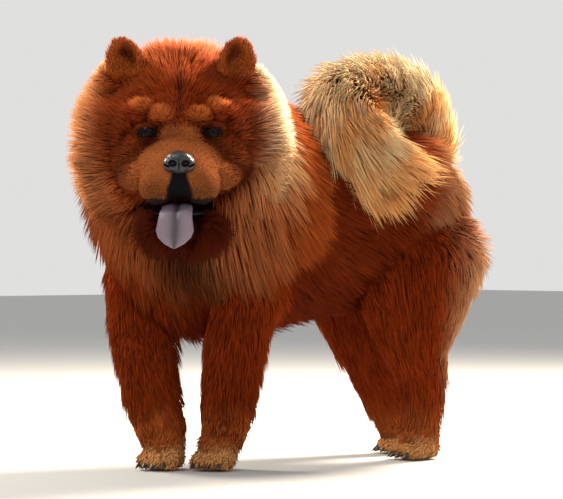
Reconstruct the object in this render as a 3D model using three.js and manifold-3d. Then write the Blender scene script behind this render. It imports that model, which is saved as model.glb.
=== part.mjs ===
// A chow chow, life size, standing with its head turned to its left and its tail curled over its back.
// Millimetres. +X is the way the body faces, +Y its left, +Z up, and the floor is at Z = 0.
// The coat is wide, flat locks that overlap along its lie, fused to a core that stands for the dense undercoat.
import * as THREE from "three";
import { mergeVertices } from "three/addons/utils/BufferGeometryUtils.js";
import Module from "manifold-3d";

const wasm = await Module();
wasm.setup();

// Driving dimensions
const GAP = 0.35; // clearance left between touching pieces
const FRONT_BEND = 450; // radius of the spine's bend to the left, ahead of mid-body
const REAR_BEND = 800; // and behind mid-body
const SINK = 12; // how deep a lock's root sits in the undercoat
const CORE_SHARE = 0.5; // how much of the coat's depth the dense undercoat fills
const COAT = { back: 46, side: 50, belly: 56, chest: 60, rump: 60, ruff: 80, leg: 20, thigh: 76, tail: 48 };
const TRUNK_END = 0.16; // how far past the trunk's ends its coat closes, as a share of its length

// The trunk from rump to chest: place along the spine, height of the axis, half width and half height of the skin.
const TRUNK = [
  { s: -296, z: 352, w: 34, h: 38 },
  { s: -278, z: 354, w: 66, h: 70 },
  { s: -235, z: 361, w: 86, h: 90 },
  { s: -160, z: 366, w: 88, h: 94 },
  { s: -75, z: 361, w: 92, h: 100 },
  { s: 20, z: 355, w: 99, h: 111 },
  { s: 110, z: 349, w: 102, h: 118 },
  { s: 170, z: 342, w: 95, h: 112 },
  { s: 212, z: 334, w: 70, h: 86 },
  { s: 234, z: 328, w: 36, h: 46 },
];

// The head's own frame has its origin between the eyes' level and the skull's middle, facing along its own +X.
const HEAD = { at: [255, 132, 471], azimuth: 51, pitch: 2 };
const SKULL = { at: [-16, 0, 4], r: [86, 84, 72] };
const EYE = { at: [57, 43, -2], r: 11 };
const MUZZLE = { root: 34, tip: 108, rootHalf: 60, tipHalf: 44, rootTop: -4, tipTop: -28, rootLow: -84, tipLow: -86 };
const NOSE = { at: [110, 0, -43], r: [17, 22, 17] };
const TONGUE = { width: 52, thick: 9, tipZ: -158, outX: 97 };
const JAW = { root: 0, tip: 88, rootHalf: 50, tipHalf: 30, top: -112, thick: 26, gape: 13 };
const EAR = { at: [-6, 70, 66], height: 66, width: 58, thick: 26, splay: 12, lean: 14 };

// Each leg: centre line as [along the spine, to the left, height] with the skin's half width and half depth.
const FEET = {
  fore_left: {
    foot: [148, 37],
    side: 1,
    fore: true,
    leg: [
      { p: [138, 64, 318], w: 42, h: 60 },
      { p: [134, 64, 250], w: 40, h: 50 },
      { p: [143, 57, 180], w: 32, h: 36 },
      { p: [140, 44, 105], w: 27, h: 30 },
      { p: [140, 39, 62], w: 24, h: 26 },
      { p: [145, 37, 30], w: 24, h: 26 },
    ],
  },
  fore_right: {
    foot: [176, -33],
    side: -1,
    fore: true,
    leg: [
      { p: [146, -80, 318], w: 42, h: 62 },
      { p: [150, -84, 250], w: 40, h: 52 },
      { p: [160, -76, 180], w: 33, h: 38 },
      { p: [175, -52, 105], w: 28, h: 31 },
      { p: [174, -40, 62], w: 25, h: 27 },
      { p: [173, -34, 30], w: 25, h: 27 },
    ],
  },
  hind_left: {
    foot: [-240, 62],
    side: 1,
    fore: false,
    leg: [
      { p: [-212, 58, 352], w: 40, h: 70 },
      { p: [-212, 66, 290], w: 42, h: 74 },
      { p: [-220, 68, 225], w: 38, h: 58 },
      { p: [-232, 66, 165], w: 30, h: 42 },
      { p: [-246, 64, 112], w: 23, h: 29 },
      { p: [-248, 62, 62], w: 21, h: 23 },
      { p: [-242, 62, 30], w: 22, h: 24 },
    ],
  },
  hind_right: {
    foot: [-268, -56],
    side: -1,
    fore: false,
    leg: [
      { p: [-206, -58, 352], w: 40, h: 70 },
      { p: [-206, -66, 290], w: 42, h: 76 },
      { p: [-212, -68, 225], w: 38, h: 62 },
      { p: [-220, -65, 165], w: 31, h: 46 },
      { p: [-234, -60, 112], w: 25, h: 34 },
      { p: [-254, -57, 62], w: 22, h: 25 },
      { p: [-268, -56, 30], w: 22, h: 24 },
    ],
  },
};
const TOE_R = 11;
const CLAW = 17;

// The tail's centre line, from its root over the back to the tip that hangs on the left side.
const TAIL = [
  { p: [-256, 0, 420], w: 24, h: 26 },
  { p: [-262, 4, 478], w: 22, h: 24 },
  { p: [-232, 12, 528], w: 20, h: 22 },
  { p: [-178, 24, 538], w: 18, h: 20 },
  { p: [-126, 44, 528], w: 17, h: 18 },
  { p: [-92, 80, 494], w: 15, h: 16 },
  { p: [-104, 112, 446], w: 13, h: 14 },
  { p: [-140, 128, 412], w: 8, h: 9 },
];
const TAIL_PARTS = { tail_base: [0, 0.36], tail_curl: [0.36, 0.68], tail_end: [0.68, 1] };

// A lock's outline: its share of full width and thickness at three places along it, before the pointed tip.
const LOCK_SHAPE = [
  { t: 0, w: 0.7, h: 1 },
  { t: 0.42, w: 1, h: 0.8 },
  { t: 0.76, w: 0.66, h: 0.45 },
];

const V = (x, y, z) => new THREE.Vector3(x, y, z);
const rad = THREE.MathUtils.degToRad;

// Carries a point of the straight dog onto the spine's bend.
function bend(s, l, z) {
  const r = s > 0 ? FRONT_BEND : REAR_BEND;
  const a = s / r;
  return V(r * Math.sin(a) - l * Math.sin(a), r * (1 - Math.cos(a)) + l * Math.cos(a), z);
}

// A repeatable source of small variations.
function dice(seed) {
  let n = seed;
  return () => {
    n = (n * 1664525 + 1013904223) % 4294967296;
    return n / 4294967296;
  };
}

// A closed solid from rings of points, with a point at each end.
function loft(rings, first, last) {
  const sides = rings[0].length;
  const points = [...rings.flat(), first, last];
  const faces = [];
  for (let i = 0; i < rings.length - 1; i++)
    for (let j = 0; j < sides; j++) {
      const k = (j + 1) % sides;
      const [a, b, c, d] = [i * sides + j, i * sides + k, (i + 1) * sides + j, (i + 1) * sides + k];
      faces.push([a, b, d], [a, d, c]);
    }
  const [start, end] = [points.length - 2, points.length - 1];
  const top = (rings.length - 1) * sides;
  for (let j = 0; j < sides; j++) {
    const k = (j + 1) % sides;
    faces.push([k, j, start], [top + j, top + k, end]);
  }
  return closed(points, faces);
}

// A manifold solid from points and triangles, turned so that its faces point out.
function closed(points, faces) {
  const make = (list) =>
    new wasm.Manifold(
      new wasm.Mesh({
        numProp: 3,
        vertProperties: new Float32Array(points.flatMap((p) => [p.x, p.y, p.z])),
        triVerts: new Uint32Array(list.flat()),
      }),
    );
  const solid = make(faces);
  return solid.volume() > 0 ? solid : make(faces.map(([a, b, c]) => [a, c, b]));
}

// A solid from a three.js geometry, after its place has been applied.
function solidOf(geometry, matrix = new THREE.Matrix4()) {
  const g = geometry.clone().applyMatrix4(matrix);
  g.deleteAttribute("normal");
  g.deleteAttribute("uv");
  const merged = mergeVertices(g, 1e-3);
  const p = merged.attributes.position;
  const points = Array.from({ length: p.count }, (_, i) => V(p.getX(i), p.getY(i), p.getZ(i)));
  const faces = [];
  for (let i = 0; i < merged.index.count; i += 3) {
    const f = [0, 1, 2].map((k) => merged.index.getX(i + k));
    if (new Set(f).size === 3) faces.push(f);
  }
  return closed(points, faces);
}

const fuse = (list) => wasm.Manifold.union(list);
const largest = (solid) => solid.decompose().sort((a, b) => b.volume() - a.volume())[0];

// An ellipsoid in a given frame, turned by Euler angles in degrees.
function ellipsoid(at, r, frame = new THREE.Matrix4(), turn = [0, 0, 0], detail = [10, 7]) {
  const m = new THREE.Matrix4().compose(
    V(...at),
    new THREE.Quaternion().setFromEuler(new THREE.Euler(...turn.map(rad))),
    V(...r),
  );
  const ball = new THREE.SphereGeometry(1, ...detail).rotateX(Math.PI / 2);
  return solidOf(ball, frame.clone().multiply(m));
}

// A limb: a round body along a smooth centre line, with its half width and half height at each station.
class Limb {
  constructor(stations, place, up = V(0, 0, 1)) {
    this.curve = new THREE.CatmullRomCurve3(stations.map(({ p }) => place(...p)), false, "centripetal");
    this.w = stations.map(({ w }) => w);
    this.h = stations.map(({ h }) => h);
    this.up = up;
  }
  size(list, t) {
    const x = this.curve.getUtoTmapping(THREE.MathUtils.clamp(t, 0, 1)) * (list.length - 1);
    const i = Math.min(Math.floor(x), list.length - 2);
    return THREE.MathUtils.lerp(list[i], list[i + 1], x - i);
  }
  frame(t) {
    const u = THREE.MathUtils.clamp(t, 0, 1);
    const along = this.curve.getTangentAt(u);
    const at = this.curve.getPointAt(u).addScaledVector(along, (t - u) * this.curve.getLength());
    const side = V(0, 0, 0).crossVectors(this.up, along).normalize();
    const over = V(0, 0, 0).crossVectors(along, side);
    return { at, along, side, over };
  }
  // The surface point at t along and angle a round, from the left side (0) over the top (90), raised by the coat.
  point(t, a, coat) {
    const { at, side, over } = this.frame(t);
    const raise = typeof coat === "function" ? coat(t, a) : coat;
    return at
      .addScaledVector(side, (this.size(this.w, t) + raise) * Math.cos(a))
      .addScaledVector(over, (this.size(this.h, t) + raise) * Math.sin(a));
  }
  normal(t, a) {
    const { side, over } = this.frame(t);
    const n = side.multiplyScalar(Math.cos(a) / this.size(this.w, t));
    return n.addScaledVector(over, Math.sin(a) / this.size(this.h, t)).normalize();
  }
  solid({ from = 0, to = 1, steps, sides, coat, grow = 0, endOut = [0, 0] }) {
    const raise = (t, a) => (typeof coat === "function" ? coat(t, a) : coat) + grow;
    const rings = [];
    for (let i = 0; i <= steps; i++) {
      const t = from + ((to - from) * i) / steps;
      const out = this.frame(t).along.multiplyScalar(i === 0 ? -grow : i === steps ? grow : 0);
      rings.push(Array.from({ length: sides }, (_, j) => this.point(t, (j / sides) * 2 * Math.PI, raise).add(out)));
    }
    const cap = (t, out) => {
      const f = this.frame(t);
      return f.at.addScaledVector(f.along, out);
    };
    return loft(rings, cap(from, -endOut[0] - grow), cap(to, endOut[1] + grow));
  }
}

// A flat, tapered lock of hair from its sunk root over a knee to a pointed tip. `across` is its flat's direction.
function lock({ start, knee, tip, across, width, thick }, grow = 0) {
  const path = new THREE.QuadraticBezierCurve3(start, knee, tip);
  const rings = LOCK_SHAPE.map(({ t, w, h }) => {
    const at = path.getPoint(t);
    const along = path.getTangent(t);
    const side = across.clone().addScaledVector(along, -across.dot(along)).normalize();
    const flat = V(0, 0, 0).crossVectors(along, side);
    const [x, y] = [(width / 2) * w + grow, (thick / 2) * h + grow];
    return [
      at.clone().addScaledVector(side, x),
      at.clone().addScaledVector(flat, y),
      at.clone().addScaledVector(side, -x),
      at.clone().addScaledVector(flat, -y),
    ];
  });
  const beyond = path.getTangent(1).multiplyScalar(2 * grow);
  return loft(rings, start, tip.clone().add(beyond));
}

// Plants tiers of locks on a limb. Each runs from its root at t, a to a tip `reach` further along and `turn` further
// round, where it reaches the coat's full depth. Rows are staggered, and sizes vary a little.
function plant(limb, { tiers, from = 0, to = 360, count, reach, turn = () => 0, width, thick = 13, coat, seed }) {
  const roll = dice(seed);
  const vary = (share) => 1 + share * (2 * roll() - 1);
  const perMm = 1 / limb.curve.getLength();
  const locks = [];
  tiers.forEach((t0, row) => {
    const step = (to - from) / count;
    for (let j = 0; j < count; j++) {
      const t = t0 + 6 * perMm * (2 * roll() - 1);
      const a = rad(from + step * (j + (row % 2 ? 0.75 : 0.25) + 0.12 * (2 * roll() - 1)));
      const far = reach * perMm * vary(0.14);
      const round = turn(t, a);
      const core = coat(t, a) * CORE_SHARE;
      const depth = coat(t + far, a + round) * vary(0.07);
      const start = limb.point(t, a, core - Math.min(SINK, core + 6));
      const knee = limb.point(t + far * 0.5, a + round * 0.5, core + (depth - core) * 0.9);
      const tip = limb.point(t + far, a + round, depth);
      const across = V(0, 0, 0).crossVectors(limb.normal(t, a), tip.clone().sub(start)).normalize();
      locks.push({ start, knee, tip, across, width: width * vary(0.12), thick });
    }
  });
  return locks;
}

// The coat's full depth at t along and a round each part of the body.
const upness = (a) => Math.max(0, Math.sin(a));
const lowness = (a) => Math.max(0, -Math.sin(a));
const trunkCoat = (t, a) => {
  const plain = COAT.side + (COAT.back - COAT.side) * upness(a) + (COAT.belly - COAT.side) * lowness(a);
  const rump = THREE.MathUtils.smoothstep(0.25 - t, 0, 0.25) * (1 - 0.6 * upness(a));
  const chest = THREE.MathUtils.smoothstep(t, 0.8, 1);
  const beyond = Math.max(0, -t, t - 1) / TRUNK_END;
  return (plain + (COAT.rump - plain) * rump + (COAT.chest - plain) * chest) * Math.max(0.2, 1 - beyond);
};
const ruffCoat = (t, a) => COAT.ruff - 8 * upness(a) + 16 * lowness(a);
const headCoat = (t, a) => {
  const full = 78 - 10 * upness(a) + 10 * lowness(a);
  return full * THREE.MathUtils.lerp(1, 0.42 - 0.2 * upness(a), THREE.MathUtils.smoothstep(t, 0.4, 0.95));
};
const inward = (side, a) => Math.max(0, -side * Math.cos(a));
const foreCoat = (side) => (t, a) => {
  const round = 1 + 0.4 * lowness(a) - 0.25 * upness(a) - 0.7 * inward(side, a);
  return COAT.leg * round * (1 - 0.75 * THREE.MathUtils.smoothstep(t, 0.84, 0.94));
};
const hindCoat = (side) => (t, a) => {
  const thigh = COAT.thigh * (0.4 + 0.6 * lowness(a) - 0.25 * inward(side, a));
  return THREE.MathUtils.lerp(thigh, 7, THREE.MathUtils.smoothstep(t, 0.12, 0.74));
};
const tailCoat = (t) => COAT.tail * (0.8 + 0.3 * THREE.MathUtils.clamp(t, 0, 1));
const underneath = (coat) => (t, a) => coat(t, a) * CORE_SHARE;

// The limbs' centre lines in the finished pose.
const headFrame = new THREE.Matrix4()
  .makeTranslation(...HEAD.at)
  .multiply(new THREE.Matrix4().makeRotationZ(rad(HEAD.azimuth)))
  .multiply(new THREE.Matrix4().makeRotationY(rad(HEAD.pitch)));
const inHead = (x, y, z) => V(x, y, z).applyMatrix4(headFrame);
const trunk = new Limb(TRUNK.map(({ s, z, w, h }) => ({ p: [s, 0, z], w, h })), bend);
const nape = inHead(-52, 0, -16);
const neck = new Limb(
  [
    { p: [58, -10, 368], w: 88, h: 96 },
    { p: [112, 22, 389], w: 91, h: 101 },
    { p: [167, 57, 413], w: 87, h: 94 },
    { p: nape.toArray(), w: 76, h: 78 },
  ],
  V,
);
const face = new Limb(
  [
    { p: [-66, 0, -18], w: 72, h: 78 },
    { p: [-30, 0, -14], w: 82, h: 84 },
    { p: [8, 0, -16], w: 80, h: 80 },
    { p: [34, 0, -20], w: 66, h: 66 },
  ],
  inHead,
);

// The trunk lies back and droops down the sides, and hangs at the chest.
const sideDroop = (amount) => (t, a) => -amount * Math.cos(a);
const trunkLocks = [
  ...plant(trunk, { tiers: [0.1, 0.28, 0.47, 0.66], from: -62, to: 242, count: 7, reach: -124,
    turn: sideDroop(0.3), width: 92, thick: 15, coat: trunkCoat, seed: 11 }),
  ...plant(trunk, { tiers: [0.3, 0.62], from: 244, to: 296, count: 2, reach: -110,
    width: 66, coat: trunkCoat, seed: 12 }),
  ...plant(trunk, { tiers: [0.88, 1.0], from: 195, to: 345, count: 4, reach: -92,
    turn: sideDroop(0.25), width: 66, coat: trunkCoat, seed: 13 }),
];
const torsoPieces = (grow) => [
  trunk.solid({ steps: 8, sides: 12, coat: underneath(trunkCoat), grow, endOut: [36, 28] }),
  ...trunkLocks.map((l) => lock(l, grow)),
];

// The ruff stands out round the neck and lies back over the shoulders.
const ruffLocks = [
  ...plant(neck, { tiers: [0.3, 0.62, 0.94], from: 0, to: 360, count: 8, reach: -100,
    turn: sideDroop(0.22), width: 118, thick: 16, coat: ruffCoat, seed: 21 }),
];
const neckPieces = (grow) => [
  neck.solid({ steps: 4, sides: 12, coat: underneath(ruffCoat), grow, endOut: [10, 6] }),
  ...ruffLocks.map((l) => lock(l, grow)),
];

// The head, with its locks standing out round the face like a wheel.
const faceLocks = [
  ...plant(face, { tiers: [0.3], count: 8, reach: -60, turn: sideDroop(0.12), width: 102, coat: headCoat, seed: 31 }),
  ...plant(face, { tiers: [0.62], from: -70, to: 250, count: 6, reach: -50, turn: sideDroop(0.12), width: 94,
    thick: 11, coat: headCoat, seed: 32 }),
];
const both = (make) => [1, -1].flatMap(make);
const inFace = (at, r, turn, detail) => ellipsoid(at, r, headFrame, turn, detail);
const eyeBall = (side, grow = 0, detail = [12, 8]) =>
  inFace([EYE.at[0], side * EYE.at[1], EYE.at[2]], [1, 1, 1].map((k) => k * (EYE.r + grow)), [0, 0, 0], detail);
const muzzleSolid = () => {
  const rings = [0, 0.3, 0.62, 0.86, 1].map((t) => {
    const x = THREE.MathUtils.lerp(MUZZLE.root, MUZZLE.tip, t);
    const round = t > 0.9 ? 0.72 : 1;
    const half = THREE.MathUtils.lerp(MUZZLE.rootHalf, MUZZLE.tipHalf, t) * round;
    const top = THREE.MathUtils.lerp(MUZZLE.rootTop, MUZZLE.tipTop, t) - (round < 1 ? 8 : 0);
    const low = THREE.MathUtils.lerp(MUZZLE.rootLow, MUZZLE.tipLow, t) + (round < 1 ? 10 : 0);
    return Array.from({ length: 12 }, (_, j) => {
      const a = (j / 12) * 2 * Math.PI;
      const square = (v) => Math.sign(v) * Math.abs(v) ** 0.72;
      return inHead(x, half * square(Math.cos(a)), (top + low) / 2 + ((top - low) / 2) * square(Math.sin(a)));
    });
  });
  return loft(rings, inHead(MUZZLE.root - 6, 0, -44), inHead(MUZZLE.tip + 3, 0, -56));
};
const headPieces = () => [
  inFace(SKULL.at, SKULL.r, [0, 0, 0], [12, 8]),
  face.solid({ steps: 2, sides: 12, coat: underneath(headCoat), endOut: [6, 14] }),
  muzzleSolid(),
  ...both((k) => [
    inFace([26, k * 54, -42], [44, 36, 42], [0, 0, 0], [10, 6]), // cheek
    inFace([86, k * 27, -70], [27, 25, 29], [0, 0, 0], [10, 6]), // flew
    inFace([60, k * 26, 19], [20, 17, 13], [0, 0, k * 12], [8, 6]), // inner brow pad
    inFace([50, k * 48, 29], [22, 22, 14], [0, 0, k * 25], [8, 6]), // outer brow pad
    inFace([EYE.at[0], k * EYE.at[1], EYE.at[2] + 1], [15, 17, 15], [0, 0, k * 14], [10, 7]), // lids
  ]),
  ...faceLocks.map((l) => lock(l)),
];
const wedge = (x0, x1, halfWide, zTop, zLow) => {
  const m = headFrame.clone().multiply(new THREE.Matrix4().makeTranslation((x0 + x1) / 2, 0, (zTop + zLow) / 2));
  return solidOf(new THREE.BoxGeometry(x1 - x0, 2 * halfWide, zTop - zLow), m);
};
const eyeSlit = (k) => inFace([72, k * 43, -4], [16, 10.5, 5], [-k * 32, 0, 0], [10, 6]);
const mouthHollow = () => fuse([inFace([70, 0, -96], [40, 30, 15], [0, 8, 0], [10, 6]), wedge(28, 92, 5, -78, -96)]);

const nosePieces = (grow) => [inFace(NOSE.at, NOSE.r.map((r) => r + grow), [0, 0, 0], [12, 8])];
const nostrils = () =>
  both((k) => inFace([NOSE.at[0] + 13, k * 9.5, NOSE.at[2] - 2], [9, 5.5, 5], [0, 0, k * 30], [6, 5]));

// The lower jaw hangs open a little, and the tongue lies over its front edge.
const jawPieces = (grow) => {
  const rings = [0, 0.35, 0.7, 0.92].map((t) => {
    const x = THREE.MathUtils.lerp(JAW.root - grow, JAW.tip + grow, t);
    const half = THREE.MathUtils.lerp(JAW.rootHalf, JAW.tipHalf, t) * (t > 0.9 ? 0.8 : 1) + grow;
    const top = JAW.top - Math.sin(rad(JAW.gape)) * (x - 50) * 0.35;
    const thick = (JAW.thick / 2) * (t > 0.9 ? 0.75 : 1) + grow;
    return Array.from({ length: 12 }, (_, j) => {
      const a = (j / 12) * 2 * Math.PI;
      return inHead(x, half * Math.cos(a), top - JAW.thick / 2 + thick * Math.sin(a));
    });
  });
  const mid = JAW.top - JAW.thick / 2 - 4;
  return [loft(rings, inHead(JAW.root - 8 - 2 * grow, 0, mid + 4), inHead(JAW.tip + 2 * grow, 0, mid))];
};
const tonguePieces = (grow) => {
  const centre = new THREE.CatmullRomCurve3([
    inHead(34, 0, -100),
    inHead(70, -2, -101),
    inHead(90, -4, -105),
    inHead(TONGUE.outX, -6, -124),
    inHead(TONGUE.outX + 1, -7, TONGUE.tipZ),
  ]);
  const widths = [0.6, 0.72, 0.8, 0.92, 1, 0.96, 0.62];
  const side = inHead(0, 1, 0).sub(inHead(0, 0, 0));
  const rings = widths.map((share, i) => {
    const t = i / widths.length;
    const flat = V(0, 0, 0).crossVectors(centre.getTangentAt(t), side).normalize();
    return Array.from({ length: 10 }, (_, j) => {
      const a = (j / 10) * 2 * Math.PI;
      const groove = j === 3 || j === 2 ? 0.7 : 1;
      return centre
        .getPointAt(t)
        .addScaledVector(side, ((TONGUE.width / 2) * share + grow) * Math.cos(a))
        .addScaledVector(flat, ((TONGUE.thick / 2) * groove + grow) * Math.sin(a));
    });
  });
  return [loft(rings, centre.getPointAt(0), centre.getPointAt(1).add(V(0, 0, -grow)))];
};

// A small, thick ear, leaning forward and out, with a cup in its front.
const earFrame = (k) =>
  headFrame
    .clone()
    .multiply(new THREE.Matrix4().makeTranslation(EAR.at[0], k * EAR.at[1], EAR.at[2]))
    .multiply(new THREE.Matrix4().makeRotationFromEuler(new THREE.Euler(rad(-k * EAR.splay), rad(EAR.lean), rad(k * 14))));
const earPieces = (k, grow) => {
  const outline = [
    { h: -0.24, w: 0.9, t: 1 },
    { h: 0.05, w: 1, t: 1 },
    { h: 0.3, w: 0.97, t: 0.9 },
    { h: 0.55, w: 0.8, t: 0.74 },
    { h: 0.78, w: 0.52, t: 0.56 },
    { h: 0.93, w: 0.26, t: 0.36 },
  ];
  const frame = earFrame(k);
  const place = (x, y, z) => V(x, y, z).applyMatrix4(frame);
  const rings = outline.map(({ h, w, t }) =>
    Array.from({ length: 10 }, (_, j) => {
      const a = (j / 10) * 2 * Math.PI;
      const x = ((EAR.thick / 2) * t + grow) * Math.sin(a);
      return place(x, ((EAR.width / 2) * w + grow) * Math.cos(a), EAR.height * h);
    }),
  );
  return [loft(rings, place(0, 0, EAR.height * -0.28 - grow), place(0, 0, EAR.height + grow))];
};
const earCup = (k) => ellipsoid([13, 0, 26], [11, 17, 30], earFrame(k), [0, 4, 0], [10, 6]);

// A paw, flat underneath, with its toes and a claw at each.
const spineTurn = (s) => s / (s > 0 ? FRONT_BEND : REAR_BEND);
const pawFrame = ({ foot: [s, l], side, fore }) => {
  const toeOut = side * (fore ? 4 : 8);
  const at = bend(s, l, 0);
  return new THREE.Matrix4().makeTranslation(at.x, at.y, 0).multiply(new THREE.Matrix4().makeRotationZ(spineTurn(s) + rad(toeOut)));
};
const toes = [-1.5, -0.5, 0.5, 1.5].map((k) => ({ x: 22 - 5 * Math.abs(k), y: k * 14 }));
const pawPieces = (leg, grow) => {
  const frame = pawFrame(leg);
  const ball = (at, r, detail) => ellipsoid(at, r.map((v) => v + grow), frame, [0, 0, 0], detail);
  return [
    ball([-4, 0, 20], [32, 26, 24], [8, 5]),
    ...toes.map(({ x, y }) => ball([x, y, 12], [19, TOE_R, 15], [6, 5])),
  ];
};
const floorBlock = solidOf(new THREE.BoxGeometry(2000, 2000, 200), new THREE.Matrix4().makeTranslation(0, 0, -100));
const clawSolid = (leg, toe) => {
  const tilt = new THREE.Matrix4().makeRotationY(rad(112)).multiply(new THREE.Matrix4().makeRotationX(Math.PI / 2));
  const at = new THREE.Matrix4().makeTranslation(toe.x + 20, toe.y, 9);
  return solidOf(new THREE.ConeGeometry(3.6, CLAW, 6), pawFrame(leg).multiply(at).multiply(tilt));
};

// The legs, with their coat down to the wrist or the hock.
const legUp = (s) => bend(s + 1, 0, 0).sub(bend(s, 0, 0)).normalize();
const legs = Object.fromEntries(
  Object.entries(FEET).map(([name, leg]) => {
    const limb = new Limb(leg.leg, bend, legUp(leg.foot[0]));
    const coat = leg.fore ? foreCoat(leg.side) : hindCoat(leg.side);
    const outer = leg.side > 0 ? [-165, 75] : [105, 345];
    const common = { from: outer[0], to: outer[1], coat };
    const locks = leg.fore
      ? plant(limb, { ...common, tiers: [0.32, 0.56], count: 3, reach: 80, width: 70, thick: 12, seed: 41 + leg.side })
      : plant(limb, { ...common, tiers: [0.1, 0.28, 0.46], count: 3, reach: 88, width: 84, thick: 14, seed: 51 + leg.side });
    return [name, { ...leg, limb, coat, locks }];
  }),
);
const legPieces = ({ limb, coat, locks }, grow) => [
  limb.solid({ steps: 6, sides: 8, coat: underneath(coat), grow, endOut: [10, 4] }),
  ...locks.map((l) => lock(l, grow)),
];

// The tail in three lengths, with its long hair fanning out from the curl and sweeping down at the tip.
const tail = new Limb(TAIL, bend, V(0, 1, 0));
const tailTiers = { tail_base: [0.18], tail_curl: [0.4, 0.56], tail_end: [0.74, 0.94] };
const tailLocks = Object.fromEntries(
  Object.entries(tailTiers).map(([name, tiers], i) => [
    name,
    plant(tail, { tiers, from: 0, to: 360, count: 5, reach: name === "tail_end" ? 70 : 46, width: 58, thick: 12, coat: tailCoat, seed: 61 + i }),
  ]),
);
const tailPieces = (name, grow) => {
  const [from, to] = TAIL_PARTS[name];
  return [
    tail.solid({ from, to, steps: 4, sides: 10, coat: underneath(tailCoat), grow, endOut: [0, name === "tail_end" ? 12 : 0] }),
    ...tailLocks[name].map((l) => lock(l, grow)),
  ];
};

// Puts the pieces together. Each is cut clear of those before it that it touches, so that nothing overlaps.
const colours = {
  coat: { color: 0x8a4a22, roughness: 0.9, metalness: 0 },
  nose: { color: 0x17161a, roughness: 0.35, metalness: 0 },
  tongue: { color: 0x5b5466, roughness: 0.45, metalness: 0 },
  eye: { color: 0x1c0f08, roughness: 0.1, metalness: 0 },
  lip: { color: 0x1d1719, roughness: 0.5, metalness: 0 },
  claw: { color: 0x2b2320, roughness: 0.4, metalness: 0 },
};
const materials = Object.fromEntries(Object.entries(colours).map(([k, v]) => [k, new THREE.MeshStandardMaterial(v)]));
const dog = new THREE.Group();
const finished = {};
function add(name, solid, finish) {
  const body = largest(solid);
  const { vertProperties, triVerts, numProp } = body.getMesh();
  const g = new THREE.BufferGeometry();
  const count = vertProperties.length / numProp;
  const positions = new Float32Array(count * 3);
  for (let i = 0; i < count; i++) positions.set(vertProperties.subarray(i * numProp, i * numProp + 3), i * 3);
  g.setAttribute("position", new THREE.BufferAttribute(positions, 3));
  g.setIndex(new THREE.BufferAttribute(triVerts, 1));
  g.computeVertexNormals();
  const mesh = new THREE.Mesh(g, materials[finish]);
  mesh.name = name;
  dog.add(mesh);
  finished[name] = body;
}
const grown = (pieces) => fuse([...pieces(GAP), ...pieces(0)]);
const cut = (solid, cutters) => cutters.reduce((s, c) => s.subtract(c), solid);

const torsoGrown = grown(torsoPieces);
const neckGrown = grown(neckPieces);
const jawGrown = grown(jawPieces);
add("torso", fuse(torsoPieces(0)), "coat");
add("neck", cut(fuse(neckPieces(0)), [torsoGrown]), "coat");
const eyesGrown = both((k) => eyeBall(k, GAP));
const tongueGrown = grown(tonguePieces);
const earsGrown = both((k) => fuse(earPieces(k, GAP)));
add(
  "head",
  cut(fuse(headPieces()), [
    mouthHollow(), ...both(eyeSlit), ...eyesGrown, grown(nosePieces), jawGrown, tongueGrown, ...earsGrown, neckGrown, torsoGrown,
  ]),
  "coat",
);
add("nose", cut(fuse(nosePieces(0)), nostrils()), "nose");
add("lower_jaw", cut(fuse(jawPieces(0)), [neckGrown, torsoGrown]), "lip");
add("tongue", cut(fuse(tonguePieces(0)), [jawGrown, neckGrown]), "tongue");
for (const [side, k] of [["left", 1], ["right", -1]]) {
  add("ear_" + side, cut(fuse(earPieces(k, 0)), [earCup(k), neckGrown]), "coat");
  add("eye_" + side, eyeBall(k), "eye");
}
const tailBefore = [torsoGrown, neckGrown];
for (const name of Object.keys(TAIL_PARTS)) {
  add(name, cut(fuse(tailPieces(name, 0)), tailBefore), "coat");
  tailBefore.push(fuse(tailPieces(name, GAP)));
}
for (const [name, leg] of Object.entries(legs)) {
  const paw = (grow) => fuse(pawPieces(leg, grow));
  add("leg_" + name, cut(fuse(legPieces(leg, 0)), [torsoGrown, neckGrown, paw(GAP)]), "coat");
  add("paw_" + name, paw(0).subtract(floorBlock), "coat");
  toes.forEach((toe, i) => add(`claw_${name}_${i + 1}`, cut(clawSolid(leg, toe), [paw(GAP)]), "claw"));
}

// The model stands with the middle of its box over the origin.
const box = new THREE.Box3().setFromObject(dog);
const middle = box.getCenter(V(0, 0, 0));
dog.position.set(-middle.x, -middle.y, 0);
export default dog;
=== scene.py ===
# %% [markdown]
# # A red rough-coated chow chow, standing
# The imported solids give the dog's size, pose and outline. This script dresses them: a skin with the
# face, toes and folds, and a coat of many thin tufts over it. A real chow has a woolly undercoat and
# long guard hair. Particle hair would look right but can't be kept as a mesh, so each tuft here is a
# small closed blade that stands for a few dozen hairs.

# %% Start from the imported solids
import math

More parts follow.
